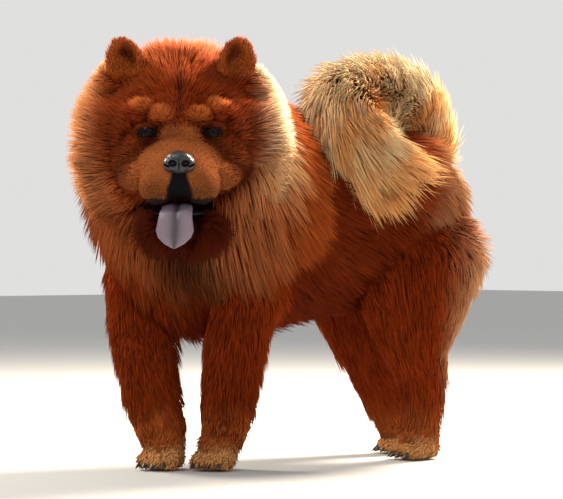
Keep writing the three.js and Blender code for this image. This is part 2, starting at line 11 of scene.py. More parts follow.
import bmesh
import bpy
import numpy as np
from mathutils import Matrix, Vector


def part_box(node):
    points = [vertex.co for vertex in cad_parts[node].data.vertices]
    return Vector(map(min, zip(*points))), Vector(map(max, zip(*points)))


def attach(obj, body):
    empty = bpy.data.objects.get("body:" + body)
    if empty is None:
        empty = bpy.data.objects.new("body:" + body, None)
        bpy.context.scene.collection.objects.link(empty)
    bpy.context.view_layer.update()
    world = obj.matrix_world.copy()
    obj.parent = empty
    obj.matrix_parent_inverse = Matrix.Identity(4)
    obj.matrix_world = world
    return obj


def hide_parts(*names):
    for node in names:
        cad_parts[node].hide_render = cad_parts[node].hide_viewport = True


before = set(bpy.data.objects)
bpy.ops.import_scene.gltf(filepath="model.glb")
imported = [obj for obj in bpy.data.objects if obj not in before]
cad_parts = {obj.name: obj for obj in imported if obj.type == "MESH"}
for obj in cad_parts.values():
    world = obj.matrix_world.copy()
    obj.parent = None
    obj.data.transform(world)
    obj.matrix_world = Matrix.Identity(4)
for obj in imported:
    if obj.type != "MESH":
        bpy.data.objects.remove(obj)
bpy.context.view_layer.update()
SEED = 7
roll = np.random.default_rng(SEED)
DENSITY = 1.0

# %% [markdown]
# ## The sizes behind the solids
# The dog is laid out straight in millimetres, as distance along the spine, distance to the left, and
# height, and then bent onto its curved spine. The same named sizes are used here, so that the skin lies
# inside the solids by the depth of the coat, and the tips of the tufts reach the solids' outline.

# %% Sizes of the dog, in millimetres
FRONT_BEND, REAR_BEND = 450, 800  # radius of the spine's bend before and behind its middle
UNDERCOAT = 0.4  # how high in the coat the skin lies, as a share of the coat's depth
COAT = dict(
    back=46, side=50, belly=56, chest=60, rump=60, ruff=80, wheel=78, leg=20, thigh=76, hock=7, tail=48,
)
TRUNK = [  # ahead, left, up, half width and half height, as in all the lists below
    (-296, 0, 352, 34, 38), (-278, 0, 354, 66, 70), (-235, 0, 361, 86, 90), (-160, 0, 366, 88, 94),
    (-75, 0, 361, 92, 100), (20, 0, 355, 99, 111), (110, 0, 349, 102, 118), (170, 0, 342, 95, 112),
    (212, 0, 334, 70, 86), (234, 0, 328, 36, 46),
]
HEAD_AT, HEAD_AZIMUTH, HEAD_PITCH = (255, 132, 471), 51, 2
NECK = [(58, -10, 368, 88, 96), (112, 22, 389, 91, 101), (167, 57, 413, 87, 94)]
FACE = [(-66, 0, -18, 72, 78), (-30, 0, -14, 82, 84), (8, 0, -16, 80, 80), (34, 0, -20, 66, 66)]
LEGS = {
    "fore_left": [(138, 64, 318, 42, 60), (134, 64, 250, 40, 50), (143, 57, 180, 32, 36),
                  (140, 44, 105, 27, 30), (140, 39, 62, 24, 26), (145, 37, 30, 24, 26)],
    "fore_right": [(146, -80, 318, 42, 62), (150, -84, 250, 40, 52), (160, -76, 180, 33, 38),
                   (175, -52, 105, 28, 31), (174, -40, 62, 25, 27), (173, -34, 30, 25, 27)],
    "hind_left": [(-212, 58, 352, 40, 70), (-212, 66, 290, 42, 74), (-220, 68, 225, 38, 58),
                  (-232, 66, 165, 30, 42), (-246, 64, 112, 23, 29), (-248, 62, 62, 21, 23),
                  (-242, 62, 30, 22, 24)],
    "hind_right": [(-206, -58, 352, 40, 70), (-206, -66, 290, 42, 76), (-212, -68, 225, 38, 62),
                   (-220, -65, 165, 31, 46), (-234, -60, 112, 25, 34), (-254, -57, 62, 22, 25),
                   (-268, -56, 30, 22, 24)],
}
FEET = {"fore_left": (148, 37), "fore_right": (176, -33), "hind_left": (-240, 62), "hind_right": (-268, -56)}
TAIL = [
    (-256, 0, 420, 24, 26), (-262, 4, 478, 22, 24), (-232, 12, 528, 20, 22), (-178, 24, 538, 18, 20),
    (-126, 44, 528, 17, 18), (-92, 80, 494, 15, 16), (-104, 112, 446, 13, 14), (-140, 128, 412, 8, 9),
]
EYE_AT, EYE_R = (57, 43, -2), 11
NOSE_AT, NOSE_R = (110, 0, -43), (17, 22, 17)
EAR_AT, EAR_HEIGHT, EAR_WIDTH, EAR_THICK = (-6, 70, 66), 66, 58, 26


def bend(ahead, left, up):
    """Carries a point of the straight dog onto the spine's bend."""
    radius = FRONT_BEND if ahead > 0 else REAR_BEND
    angle = ahead / radius
    along = (radius - left) * math.sin(angle)
    return np.array([along, radius * (1 - math.cos(angle)) + left * math.cos(angle), up])


def turn_z(degrees):
    c, s = math.cos(math.radians(degrees)), math.sin(math.radians(degrees))
    return np.array([[c, -s, 0], [s, c, 0], [0, 0, 1]])


def turn_y(degrees):
    c, s = math.cos(math.radians(degrees)), math.sin(math.radians(degrees))
    return np.array([[c, 0, s], [0, 1, 0], [-s, 0, c]])


def turn_x(degrees):
    c, s = math.cos(math.radians(degrees)), math.sin(math.radians(degrees))
    return np.array([[1, 0, 0], [0, c, -s], [0, s, c]])


HEAD_TURN = turn_z(HEAD_AZIMUTH) @ turn_y(HEAD_PITCH)


def in_head(points):
    """Points of the head's own frame, whose X runs out of the nose, carried into the layout."""
    return np.asarray(points, float) @ HEAD_TURN.T + HEAD_AT


def to_head(points):
    """Points of the layout in the head's own frame."""
    return (np.asarray(points) - HEAD_AT) @ HEAD_TURN


# Packing centres the part over the floor, so the layout's place is read from the left eye.
eye_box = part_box("eye_left")
eye_middle = (np.array(eye_box[0]) + np.array(eye_box[1])) / 2
SHIFT = eye_middle * 1000 - in_head(EYE_AT)
SHIFT[2] = 0
print("the solids' shift from the layout, mm:", SHIFT.round(2))


def metres(points):
    """The layout's millimetres in the frame's metres."""
    return (np.asarray(points) + SHIFT) / 1000


# %% [markdown]
# ## Limbs
# Trunk, neck, legs and tail are each a round body along a smooth line. A limb answers two questions:
# where the point is at a share `t` of its length and an angle `a` round it, and where on it a given
# point lies. The first places skin and tips, the second tells each tuft how its hair should run.

# %% A limb
class Limb:
    """A round body along a smooth line through its stations."""

    def __init__(self, stations, place=bend, up=(0, 0, 1), coat=None, samples=96):
        knots = np.array([place(*s[:3]) for s in stations])
        ends = np.vstack([2 * knots[0] - knots[1], knots, 2 * knots[-1] - knots[-2]])
        x = np.linspace(0, len(knots) - 1, samples)
        i = np.minimum(x.astype(int), len(knots) - 2)
        # A curve through each knot. The gaps' square roots keep it from looping where knots are close.
        p0, p1, p2, p3 = (ends[i + k] for k in range(4))
        pairs = ((p0, p1), (p1, p2), (p2, p3))
        gap = [np.linalg.norm(b - a, axis=1)[:, None] ** 0.5 for a, b in pairs]
        m1 = gap[1] * ((p1 - p0) / gap[0] - (p2 - p0) / (gap[0] + gap[1]) + (p2 - p1) / gap[1])
        m2 = gap[1] * ((p2 - p1) / gap[1] - (p3 - p1) / (gap[1] + gap[2]) + (p3 - p2) / gap[2])
        f = (x - i)[:, None]
        squared = (3 * (p2 - p1) - 2 * m1 - m2) * f**2
        cubed = (2 * (p1 - p2) + m1 + m2) * f**3
        self.line = p1 + m1 * f + squared + cubed
        steps = np.linalg.norm(np.diff(self.line, axis=0), axis=1)
        self.length = steps.sum()
        self.u = np.append(0, np.cumsum(steps)) / self.length
        self.along = np.gradient(self.line, axis=0)
        self.along /= np.linalg.norm(self.along, axis=1)[:, None]
        self.side = np.cross(np.array(up, float), self.along)
        self.side /= np.linalg.norm(self.side, axis=1)[:, None]
        self.over = np.cross(self.along, self.side)
        sizes = np.array([s[3:5] for s in stations], float)
        self.w, self.h = (np.interp(x, np.arange(len(knots)), sizes[:, k]) for k in (0, 1))
        self.coat = coat

    def at(self, t):
        """Centre, axes and half sizes at shares t of the length."""
        u = np.clip(t, 0, 1)

        def pick(rows):
            return np.stack([np.interp(u, self.u, rows[:, k]) for k in range(3)], -1)

        along = pick(self.along)
        centre = pick(self.line) + along * ((t - u) * self.length)[..., None]
        half_sizes = (np.interp(u, self.u, self.w), np.interp(u, self.u, self.h))
        return centre, along, pick(self.side), pick(self.over), *half_sizes

    def point(self, t, a, depth):
        """The point at share t and angle a, at a depth of coat over the limb."""
        centre, _, side, over, w, h = self.at(t)
        sideways = side * ((w + depth) * np.cos(a))[..., None]
        upwards = over * ((h + depth) * np.sin(a))[..., None]
        return centre + sideways + upwards

    def locate(self, points, share=UNDERCOAT):
        """Share of length, angle, and closeness to the coat at a share of its depth (1 on it)."""
        away = (points**2).sum(1)[:, None] + (self.line**2).sum(1)[None] - 2 * points @ self.line.T
        i = away.argmin(1)
        off = points - self.line[i]
        at_end = (i == 0) | (i == len(self.u) - 1)
        t = self.u[i] + (off * self.along[i]).sum(1) / self.length * at_end
        x, y = (off * self.side[i]).sum(1), (off * self.over[i]).sum(1)
        a = np.arctan2(y / self.h[i], x / self.w[i])
        raised = share * self.coat(t, a)
        return t, a, np.hypot(x / (self.w[i] + raised), y / (self.h[i] + raised))

    def held(self, points, limit):
        """The points drawn in to the coat's outside, where they lie past it."""
        t, _, near = self.locate(points, 1.0)
        centre = self.at(np.clip(t, 0, 1))[0]
        return centre + (points - centre) * np.minimum(1, limit / np.maximum(near, 1e-3))[:, None]


# %% [markdown]
# ## The depth of the coat
# A chow's coat isn't one length: deep in the ruff and breeches, shallow on the legs, and a few
# millimetres on the hocks. A short function for each limb gives the depth at a share of its length and
# an angle round it. Smooth steps between the depths keep the outline free of ledges.

# %% Smooth steps
def smooth(x, low, high):
    """0 below low, 1 above high, and an even S between."""
    f = np.clip((x - low) / (high - low), 0, 1)
    return f * f * (3 - 2 * f)


def blend(a, b, f):
    """From a to b as f goes from 0 to 1."""
    return a + (b - a) * f


def upness(a):
    """1 on a limb's upper side, falling to 0 half way down."""
    return np.maximum(0, np.sin(a))


def lowness(a):
    return np.maximum(0, -np.sin(a))


# %% Depth on trunk, ruff, head and tail
def trunk_coat(t, a):
    above = (COAT["back"] - COAT["side"]) * upness(a)
    below = (COAT["belly"] - COAT["side"]) * lowness(a)
    plain = COAT["side"] + above + below
    rump = smooth(0.25 - t, 0, 0.25) * (1 - 0.6 * upness(a))
    chest = smooth(t, 0.8, 1)
    beyond = np.maximum(0, np.maximum(-t, t - 1)) / 0.16
    depth = plain + (COAT["rump"] - plain) * rump + (COAT["chest"] - plain) * chest
    return depth * np.maximum(0.2, 1 - beyond)


def ruff_coat(t, a):
    return COAT["ruff"] - 8 * upness(a) + 16 * lowness(a)


def head_coat(t, a):
    full = COAT["wheel"] - 10 * upness(a) + 10 * lowness(a)
    return full * blend(1, 0.42 - 0.2 * upness(a), smooth(t, 0.4, 0.95))


def tail_coat(t, a):
    return COAT["tail"] * (0.8 + 0.3 * np.clip(t, 0, 1))


# %% Depth on the legs
def fore_coat(side):
    def depth(t, a):
        around = 1 + 0.4 * lowness(a) - 0.25 * upness(a) - 0.7 * np.maximum(0, -side * np.cos(a))
        return COAT["leg"] * around * (1 - 0.75 * smooth(t, 0.84, 0.94))
    return depth


def hind_coat(side):
    def depth(t, a):
        around = 0.4 + 0.6 * lowness(a) - 0.25 * np.maximum(0, -side * np.cos(a))
        thigh = COAT["thigh"] * blend(0.82, 1, smooth(t, 0, 0.14)) * around
        return blend(thigh, COAT["hock"], smooth(t, 0.12, 0.74))
    return depth


def leg_up(ahead):
    """The way the spine runs over a foot, which is the upper side of a leg's own frame."""
    way = bend(ahead + 1, 0, 0) - bend(ahead, 0, 0)
    return way / np.linalg.norm(way)


# %% All the limbs
SIDES = {"left": 1, "right": -1}
NAPE, NAPE_HALF = (-52, 0, -16), (76, 78)
limbs = {
    "trunk": Limb(TRUNK, coat=trunk_coat),
    "neck": Limb([*NECK, (*in_head(NAPE), *NAPE_HALF)], place=lambda *p: np.array(p, float), coat=ruff_coat),
    "face": Limb(FACE, place=lambda *p: in_head(p), coat=head_coat),
    "tail": Limb(TAIL, up=(0, 1, 0), coat=tail_coat),
}
for name, stations in LEGS.items():
    end, side = name.split("_")
    coat = (fore_coat if end == "fore" else hind_coat)(SIDES[side])
    limbs[name] = Limb(stations, up=leg_up(FEET[name][0]), coat=coat)
print({name: round(limb.length) for name, limb in limbs.items()}, "mm long")

# %% [markdown]
# ## From forms to one skin
# Flesh has no seams, so plain closed forms are laid into one another and a voxel remesh takes the
# outside of them all. Smoothing then rounds the creases as skin does. Sculpting by hand would be freer,
# but forms with named sizes can be moved when the photograph asks for it.

# %% Closed forms
def mesh_object(name, points, faces):
    mesh = bpy.data.meshes.new(name)
    mesh.from_pydata([tuple(p) for p in points], [], faces)
    made = bpy.data.objects.new(name, mesh)
    bpy.context.scene.collection.objects.link(made)
    return made


def loft(name, rings, first, last):
    """A closed form through rings of points, in layout millimetres."""
    sides = len(rings[0])
    points = metres(np.vstack([*rings, [first], [last]]))
    start, end = len(points) - 2, len(points) - 1
    faces = []
    for i in range(len(rings) - 1):
        for j in range(sides):
            k = (j + 1) % sides
            faces.append((i * sides + j, i * sides + k, (i + 1) * sides + k, (i + 1) * sides + j))
    top = (len(rings) - 1) * sides
    for j in range(sides):
        k = (j + 1) % sides
        faces += [(k, j, start), (top + j, top + k, end)]
    made = mesh_object(name, points, faces)
    face_outwards(made)
    return made


def face_outwards(piece):
    work = bmesh.new()
    work.from_mesh(piece.data)
    bmesh.ops.recalc_face_normals(work, faces=work.faces)
    work.to_mesh(piece.data)
    work.free()


def ball(at, r, turn=(0, 0, 0), place=in_head, parts=(40, 24)):
    """An ellipsoid in the head's frame, or in another one through `place`."""
    rings = []
    spin = turn_x(turn[0]) @ turn_y(turn[1]) @ turn_z(turn[2])
    round_angles = np.linspace(0, 2 * np.pi, parts[0], endpoint=False)
    for tilt in np.linspace(0, np.pi, parts[1] + 1)[1:-1]:
        unit = np.stack([np.cos(round_angles) * np.sin(tilt), np.sin(round_angles) * np.sin(tilt),
                         np.full(parts[0], np.cos(tilt))], -1)
        rings.append(place((unit * r) @ spin.T + at))
    poles = [place(np.array([0, 0, k * r[2]]) @ spin.T + np.array(at)) for k in (1, -1)]
    return loft("ball", rings, *poles)


def limb_form(limb, share=UNDERCOAT, steps=40, sides=48, out=(30, 24)):
    """A limb with its undercoat, closed by tips that stand out by `out` at its two ends."""
    angles = np.linspace(0, 2 * np.pi, sides, endpoint=False)
    rings = []
    for t in np.linspace(0, 1, steps):
        spread = np.full(sides, t)
        rings.append(limb.point(spread, angles, share * limb.coat(spread, angles)))
    centre, along = limb.at(np.array([0.0, 1.0]))[:2]
    return loft("limb", rings, centre[0] - along[0] * out[0], centre[1] + along[1] * out[1])


def applied(piece, name):
    """The piece with its modifiers made real, as a new plain mesh."""
    shown = piece.evaluated_get(bpy.context.evaluated_depsgraph_get())
    mesh = bpy.data.meshes.new_from_object(shown)
    bpy.data.objects.remove(piece)
    mesh.name = name
    made = bpy.data.objects.new(name, mesh)
    bpy.context.scene.collection.objects.link(made)
    return made


def fused(name, forms, voxel, rounds=6, carved=()):
    """One skin round all the forms, with the carved forms cut out of it."""
    bpy.ops.object.select_all(action="DESELECT")
    for form in forms:
        form.select_set(True)
    bpy.context.view_layer.objects.active = forms[0]
    bpy.ops.object.join()
    remesh = forms[0].modifiers.new("skin", "REMESH")
    remesh.mode, remesh.voxel_size, remesh.use_smooth_shade = "VOXEL", voxel, True
    for form in carved:
        cut = forms[0].modifiers.new("cut", "BOOLEAN")
        cut.operation, cut.solver, cut.object = "DIFFERENCE", "EXACT", form
    soften = forms[0].modifiers.new("soften", "SMOOTH")
    soften.factor, soften.iterations = 0.5, rounds
    made = applied(forms[0], name)
    for form in carved:
        bpy.data.objects.remove(form)
    made.data.shade_smooth()
    print(name, len(made.data.polygons), "faces")
    return made


# %% [markdown]
# ## The body's skin
# Trunk, neck, legs and tail with their undercoat, and four feet. A chow's foot is round and compact,
# with arched toes. Each foot is a low pad, four toes and a flat sole, which is cut level by the floor.

# %% Body and feet
TOES = [(22 - 5 * abs(k), k * 14) for k in (-1.5, -0.5, 0.5, 1.5)]  # how far ahead and left in its foot
SPLAY = {"fore": 4, "hind": 8}
SOLE = 0.8
BODY_VOXEL = 0.0042


def foot_place(name):
    """Carries points of a foot's own frame, whose X runs out of the toes, into the layout."""
    ahead, left = FEET[name]
    end, side = name.split("_")
    angle = math.degrees(ahead / (FRONT_BEND if ahead > 0 else REAR_BEND)) + SIDES[side] * SPLAY[end]
    at = bend(ahead, left, 0)
    return lambda points: np.asarray(points, float) @ turn_z(angle).T + at


def foot_forms(name):
    """A pad, and a toe and a knuckle for each of the four toes."""
    place = foot_place(name)
    toes = [ball((x, y, 13), (18, 8.6, 13), place=place, parts=(20, 12)) for x, y in TOES]
    knuckles = [ball((x - 9, y * 0.9, 21), (13, 8.2, 11), place=place, parts=(20, 12)) for x, y in TOES]
    return [ball((-5, 0, 19), (29, 24, 21), place=place), *toes, *knuckles]


body_forms = [
    limb_form(limbs["trunk"]),
    limb_form(limbs["neck"], out=(10, 6)),
    limb_form(limbs["tail"], out=(0, 12)),
]
for name in LEGS:
    body_forms += [limb_form(limbs[name], out=(10, 4)), *foot_forms(name)]
body = fused("body_skin", body_forms, BODY_VOXEL, rounds=5)
heights = np.empty(len(body.data.vertices) * 3)
body.data.vertices.foreach_get("co", heights)
heights[2::3] = np.maximum(heights[2::3], SOLE / 1000)
body.data.vertices.foreach_set("co", heights)

# %% [markdown]
# ## The head
# The breed's face is broad and padded: a short deep muzzle with full flews, small deep eyes under
# puffed brows, a furrow down the forehead, and small thick ears set wide. Each but the furrow is a form
# of its own in the head's frame, whose X points out of the nose; the furrow is only painted shade. The
# slits of the eyes, the cups of the ears and the open mouth are cut after the fusing, so that their
# edges stay crisp.

# %% Muzzle and ears
MUZZLE = [  # how far out, half width, top, low
    (24, 68, -2, -84), (44, 64, -5, -88), (66, 57, -12, -92), (86, 48, -19, -91), (100, 38, -28, -86),
    (108, 26, -38, -80),
]
EAR_OUTLINE = [  # share of its height, share of its width, share of its thickness
    (-0.24, 0.9, 1), (0.05, 1, 1), (0.3, 0.98, 0.9), (0.55, 0.88, 0.76), (0.76, 0.66, 0.62),
    (0.9, 0.36, 0.44),
]


def muzzle_form():
    """A loft of boxy rings, narrower at the top, from the cheeks to the nose."""
    rings = []
    angles = np.linspace(0, 2 * np.pi, 48, endpoint=False)

    def boxy(v):
        return np.sign(v) * np.abs(v) ** 0.78

    for x, half, top, low in MUZZLE:
        wide = half * (1 - 0.26 * smooth(np.sin(angles), -0.2, 1))
        tall = (top + low) / 2 + (top - low) / 2 * boxy(np.sin(angles))
        rings.append(in_head(np.stack([np.full(48, x), wide * boxy(np.cos(angles)), tall], -1)))
    return loft("muzzle", rings, in_head((18, 0, -44)), in_head((112, 0, -58)))


def ear_place(k):
    """Carries points of an ear's own frame, whose Z runs to the ear's tip, into the layout."""
    spin = turn_x(-k * 12) @ turn_y(14) @ turn_z(k * 14)
    root = (EAR_AT[0], k * EAR_AT[1], EAR_AT[2])
    return lambda points: in_head(np.asarray(points, float) @ spin.T + root)


def ear_form(k):
    """A thick leaf with a rounded tip, which leans forward and outward."""
    place = ear_place(k)
    angles = np.linspace(0, 2 * np.pi, 32, endpoint=False)
    rings = []
    for h, w, t in EAR_OUTLINE:
        thick = EAR_THICK / 2 * 0.85 * t * np.sin(angles)
        wide = EAR_WIDTH / 2 * w * np.cos(angles)
        rings.append(place(np.stack([thick, wide, np.full(32, EAR_HEIGHT * h)], -1)))
    return loft("ear", rings, place((0, 0, EAR_HEIGHT * -0.28)), place((0, 0, EAR_HEIGHT * 0.94)))


# %% The head in one skin
HEAD_VOXEL = 0.0026
head_forms = [
    ball((-16, 0, 2), (82, 80, 70)),  # skull
    limb_form(limbs["face"], out=(6, 12)),
    muzzle_form(),
    ball((42, 0, -133), (38, 42, 19)),  # chin
]
carved = [ball((66, 0, -103), (52, 44, 11), (0, 4, 0))]  # mouth
for k in SIDES.values():
    head_forms += [
        ball((20, k * 50, -40), (40, 34, 42)),  # cheek
        ball((84, k * 27, -71), (26, 24, 29)),  # flew
        ball((59, k * 24, 19), (18, 15, 11), (0, 0, k * 12)),  # inner brow pad
        ball((47, k * 45, 28), (18, 16, 9), (0, 0, k * 25)),  # outer brow pad
        ball((44, k * 52, -60), (34, 25, 17), (k * 10, 0, k * 10)),  # jowl
        ball((EYE_AT[0] - 2, k * EYE_AT[1], EYE_AT[2]), (13, 17, 12.5), (0, 0, k * 14)),  # lids
        ear_form(k),
    ]
    carved += [
        ball((73, k * 43, -3), (17, 10.5, 3.7), (-k * 36, 0, 0)),  # slit of the eye
        ball((15, 0, 24), (14, 19, 31), (0, 4, 0), place=ear_place(k)),  # cup of the ear
    ]
head = fused("head_skin", head_forms, HEAD_VOXEL, rounds=6, carved=carved)

# %% [markdown]
# ## Whose skin is it, and how does the hair run
# Each point of the skin asks every limb how near it lies, and takes the lie of the nearest, blended
# where two meet. On the trunk and ruff the hair runs back and droops, on the legs it runs down, and on
# the tail it fans towards the tip. On the head it starts at the nose, runs back over muzzle and brow,
# and stands out behind the cheeks as the wheel that gives the breed its lion's look.

# %% Where a skin point lies
LIE = {  # a tuft's run along its limb in mm at two shares of the length, those shares, and its droop
    "trunk": ((-64, -64), (0, 1), 0.25),
    "neck": ((-72, -8), (0.55, 1), 0.2),
    "tail": ((30, 56), (0.5, 0.95), 0),
}
for leg in LEGS:
    LIE[leg] = ((34, 34), (0, 1), 0) if leg.startswith("fore") else ((2, 44), (0, 0.24), 0)
BODY_LIMBS = list(LIE)
BORDER = 0.14  # how wide the blend is where two limbs meet, as a share of their size
BEYOND = 30  # how far past a limb's end it still counts, in mm
KNEE_DEPTH = 0.94


def hair_run(name, t, a):
    """How far a tuft runs along its limb in mm, and how far it swings round it."""
    (first, last), over, droop = LIE[name]
    run = blend(first, last, smooth(t, *over))
    swing = -droop * np.cos(a)
    if name == "trunk":
        run = blend(run, -40, smooth(0.22 - t, 0, 0.16))
        swing = swing * blend(1, 2.2, smooth(0.25 - t, 0, 0.2))
    return run, swing


def read_limbs(points):
    """Nearest limb, its t and a, and blended vectors from the skin to a tuft's knee and tip."""
    rows = []
    for name in BODY_LIMBS:
        limb = limbs[name]
        t, a, near = limb.locate(points)
        run, swing = hair_run(name, t, a)
        depth = limb.coat(t, a)
        base = limb.point(t, a, UNDERCOAT * depth)
        far = run / limb.length
        tip = limb.point(t + far, a + swing, limb.coat(t + far, a + swing)) - base
        knee = limb.point(t + far / 2, a + swing / 2, depth * KNEE_DEPTH) - base
        outside = np.maximum(0, np.maximum(-t, t - 1)) * limb.length / BEYOND
        weight = np.exp(-(((near - 1) / BORDER) ** 2) - outside**2) + 1e-9
        rows.append((weight, t, a, knee, tip))
    weight = np.stack([r[0] for r in rows])
    best = weight.argmax(0)
    share = (weight**2) / (weight**2).sum(0)

    def pick(k):
        return np.stack([r[k] for r in rows])[best, np.arange(len(points))]

    def mixed(k):
        return sum(share[i][:, None] * rows[i][k] for i in range(len(rows)))

    return best, pick(1), pick(2), mixed(3), mixed(4)


# %% Roots spread over a skin
def corners(piece):
    """A mesh's points in layout millimetres, and the corners of its triangles."""
    mesh = piece.data
    mesh.calc_loop_triangles()
    points = np.empty(len(mesh.vertices) * 3)
    mesh.vertices.foreach_get("co", points)
    ids = np.empty(len(mesh.loop_triangles) * 3, int)
    mesh.loop_triangles.foreach_get("vertices", ids)
    return points.reshape(-1, 3) * 1000 - SHIFT, ids.reshape(-1, 3)


def scatter(piece, count, density):
    """Roots spread over a skin, in layout millimetres, with the skin's normal at each."""
    points, ids = corners(piece)
    a, b, c = (points[ids[:, k]] for k in range(3))
    cross = np.cross(b - a, c - a)
    area = np.linalg.norm(cross, axis=1) / 2
    weight = area * density((a + b + c) / 3)
    chosen = roll.choice(len(ids), int(count * DENSITY), p=weight / weight.sum())
    u, v = roll.random((2, len(chosen), 1))
    flip = u + v > 1
    u, v = np.where(flip, 1 - u, u), np.where(flip, 1 - v, v)
    normal = cross[chosen] / np.maximum(2 * area[chosen], 1e-9)[:, None]
    return a[chosen] + u * (b - a)[chosen] + v * (c - a)[chosen], normal


def ripple(points, scale, seed, waves=7):
    """A smooth random field of about -1 to 1 whose features are `scale` mm across."""
    dice = np.random.default_rng(seed)
    total = np.zeros(len(points))
    for _ in range(waves):
        way = dice.normal(size=3) * 2.2 / scale
        total += np.sin(points @ way + dice.uniform(0, 6.28))
    return total / waves**0.5 / 1.2


# %% [markdown]
# ## Colour
# The coat is self-coloured: deep mahogany on the face and flanks, brighter red where it is long, and
# pale gold at the tips of the ruff, the breeches and above all the tail. Muzzle and feet are tan. On
# the ruff's rim, the rump's edge, the breeches, the tail's top and the feet, part of that paleness is
# painted light. The same function paints skin and tufts, so that a parting in the coat never shows
# another colour.

# %% The coat's colours
def rgb(r, g, b):
    """A colour as seen on a screen, made linear."""
    c = np.array([r, g, b]) / 255
    return np.where(c <= 0.04045, c / 12.92, ((c + 0.055) / 1.055) ** 2.4)


MAHOGANY, RED, RUST = rgb(130, 38, 9), rgb(156, 62, 20), rgb(196, 104, 46)
TAN, GOLD, CREAM = rgb(184, 104, 56), rgb(246, 184, 118), rgb(255, 234, 188)
BROWN, SHADE, BLACK = rgb(92, 58, 28), rgb(74, 22, 8), rgb(12, 10, 12)


def mix(a, b, f):
    """Rows of colour a, blended towards b by each row's f."""
    f = np.asarray(f)[..., None]
    return a * (1 - f) + b * f


def bump_at(q, at, r):
    """1 at a place on the head, falling to 0 at the radii r."""
    away = (((q - at) / r) ** 2).sum(-1)
    return smooth(1 - away, 0, 0.8)


def both_sides(q):
    """The same places with the head's right side folded onto its left."""
    return np.abs(q) * (0, 1, 0) + q * (1, 0, 1)


# %% Marks of the head
BROW_PADS = (66, 24, 20), (58, 47, 33)


def mask_edges(x, y, z):
    """The tan mask round the muzzle, and the dark groove beside it."""
    below = 6 - z
    mask = smooth(16 + below * 0.86 - y, -9, 9) * smooth(below, -7, 8)
    mask = mask * smooth(x, 30, 50) * smooth(z, -106, -98)
    groove = smooth(14 - np.abs(18 + below * 0.82 + 9 - y), 0, 9) * smooth(-z, 0, 12) * smooth(x, 20, 40)
    return mask, groove


def bare_skin(q):
    """1 on philtrum, lips and the rims of the lids, where black skin shows."""
    x, y, z = q.T
    philtrum = smooth(blend(12, 19, smooth(-z, 56, 86)) - y, -1, 4) * smooth(-z, 46, 52) * smooth(x, 66, 80)
    lips = smooth(-z - 90 + 0.08 * y, 0, 4) * smooth(z, -120, -116) * smooth(x, -24, -16) * (y < 60)
    rims = bump_at(q, (66, 43, -3), (16, 15, 8)) * smooth(x, 40, 52)
    return np.maximum(np.maximum(philtrum, lips * 0.9), smooth(rims, 0.15, 0.5))


def head_paint(points):
    """Root and tip colours on the head."""
    q = both_sides(to_head(points))
    x, y, z = q.T
    roots = np.tile(MAHOGANY, (len(q), 1))
    roots = mix(roots, RED, smooth(ripple(points, 60, 5), -0.6, 0.9) * 0.6)
    roots = mix(roots, RED, smooth(-z, 30, 90) * 0.5)
    inner, outer = BROW_PADS
    brows = np.maximum(bump_at(q, inner, (30, 15, 11)), bump_at(q, outer, (30, 17, 10)))
    roots = mix(roots, RUST, brows * 0.75)
    mask, groove = mask_edges(x, y, z)
    roots = mix(roots, TAN, mask)
    roots = mix(roots, BROWN, mask * smooth(-z, 50, 88) * 0.85)
    socket = np.maximum(bump_at(q, (60, 45, -4), (34, 25, 13)), bump_at(q, (62, 30, 6), (26, 13, 10)))
    roots = mix(roots, SHADE * 0.3, socket * 0.95)
    roots = mix(roots, SHADE * 0.7, groove * smooth(z, -84, -66) * 0.85)
    roots = mix(roots, SHADE, 0.62 * smooth(y, 58, 70) * smooth(x, 0, 30) * smooth(30 - z, 0, 30))
    furrow = smooth(1 - y / 3.2, 0, 0.8) * smooth(z, 12, 24) * (1 - smooth(z, 60, 78)) * smooth(x, 20, 40)
    roots = mix(roots, SHADE, furrow * 0.8)
    wheel = smooth(36 - x, 0, 60)
    tips = mix(roots, RUST, 0.25 + 0.35 * wheel)
    ear = smooth(z, 66, 78) * smooth(y, 44, 52)
    inner_ear = bump_at(q, (16, 74, 92), (30, 17, 30)) * smooth(x, 2, 8)
    roots, tips = mix(roots, RUST, ear * 0.5), mix(tips, RUST, ear * 0.6)
    roots, tips = mix(roots, SHADE, inner_ear * 0.9), mix(tips, SHADE, inner_ear * 0.7)
    chin = smooth(-z, 104, 116) * smooth(x, -40, -5) * smooth(62 - y, 0, 16)
    return mix(roots, SHADE * 0.5, chin * 0.9), mix(tips, SHADE, chin * 0.9)


# %% Marks of the body
PALE, FOOT_TAN_AND_SUNLIGHT, TAIL_ROOT = mix(GOLD, CREAM, 0.4), mix(TAN, GOLD, 0.5), mix(RUST, GOLD, 0.55)


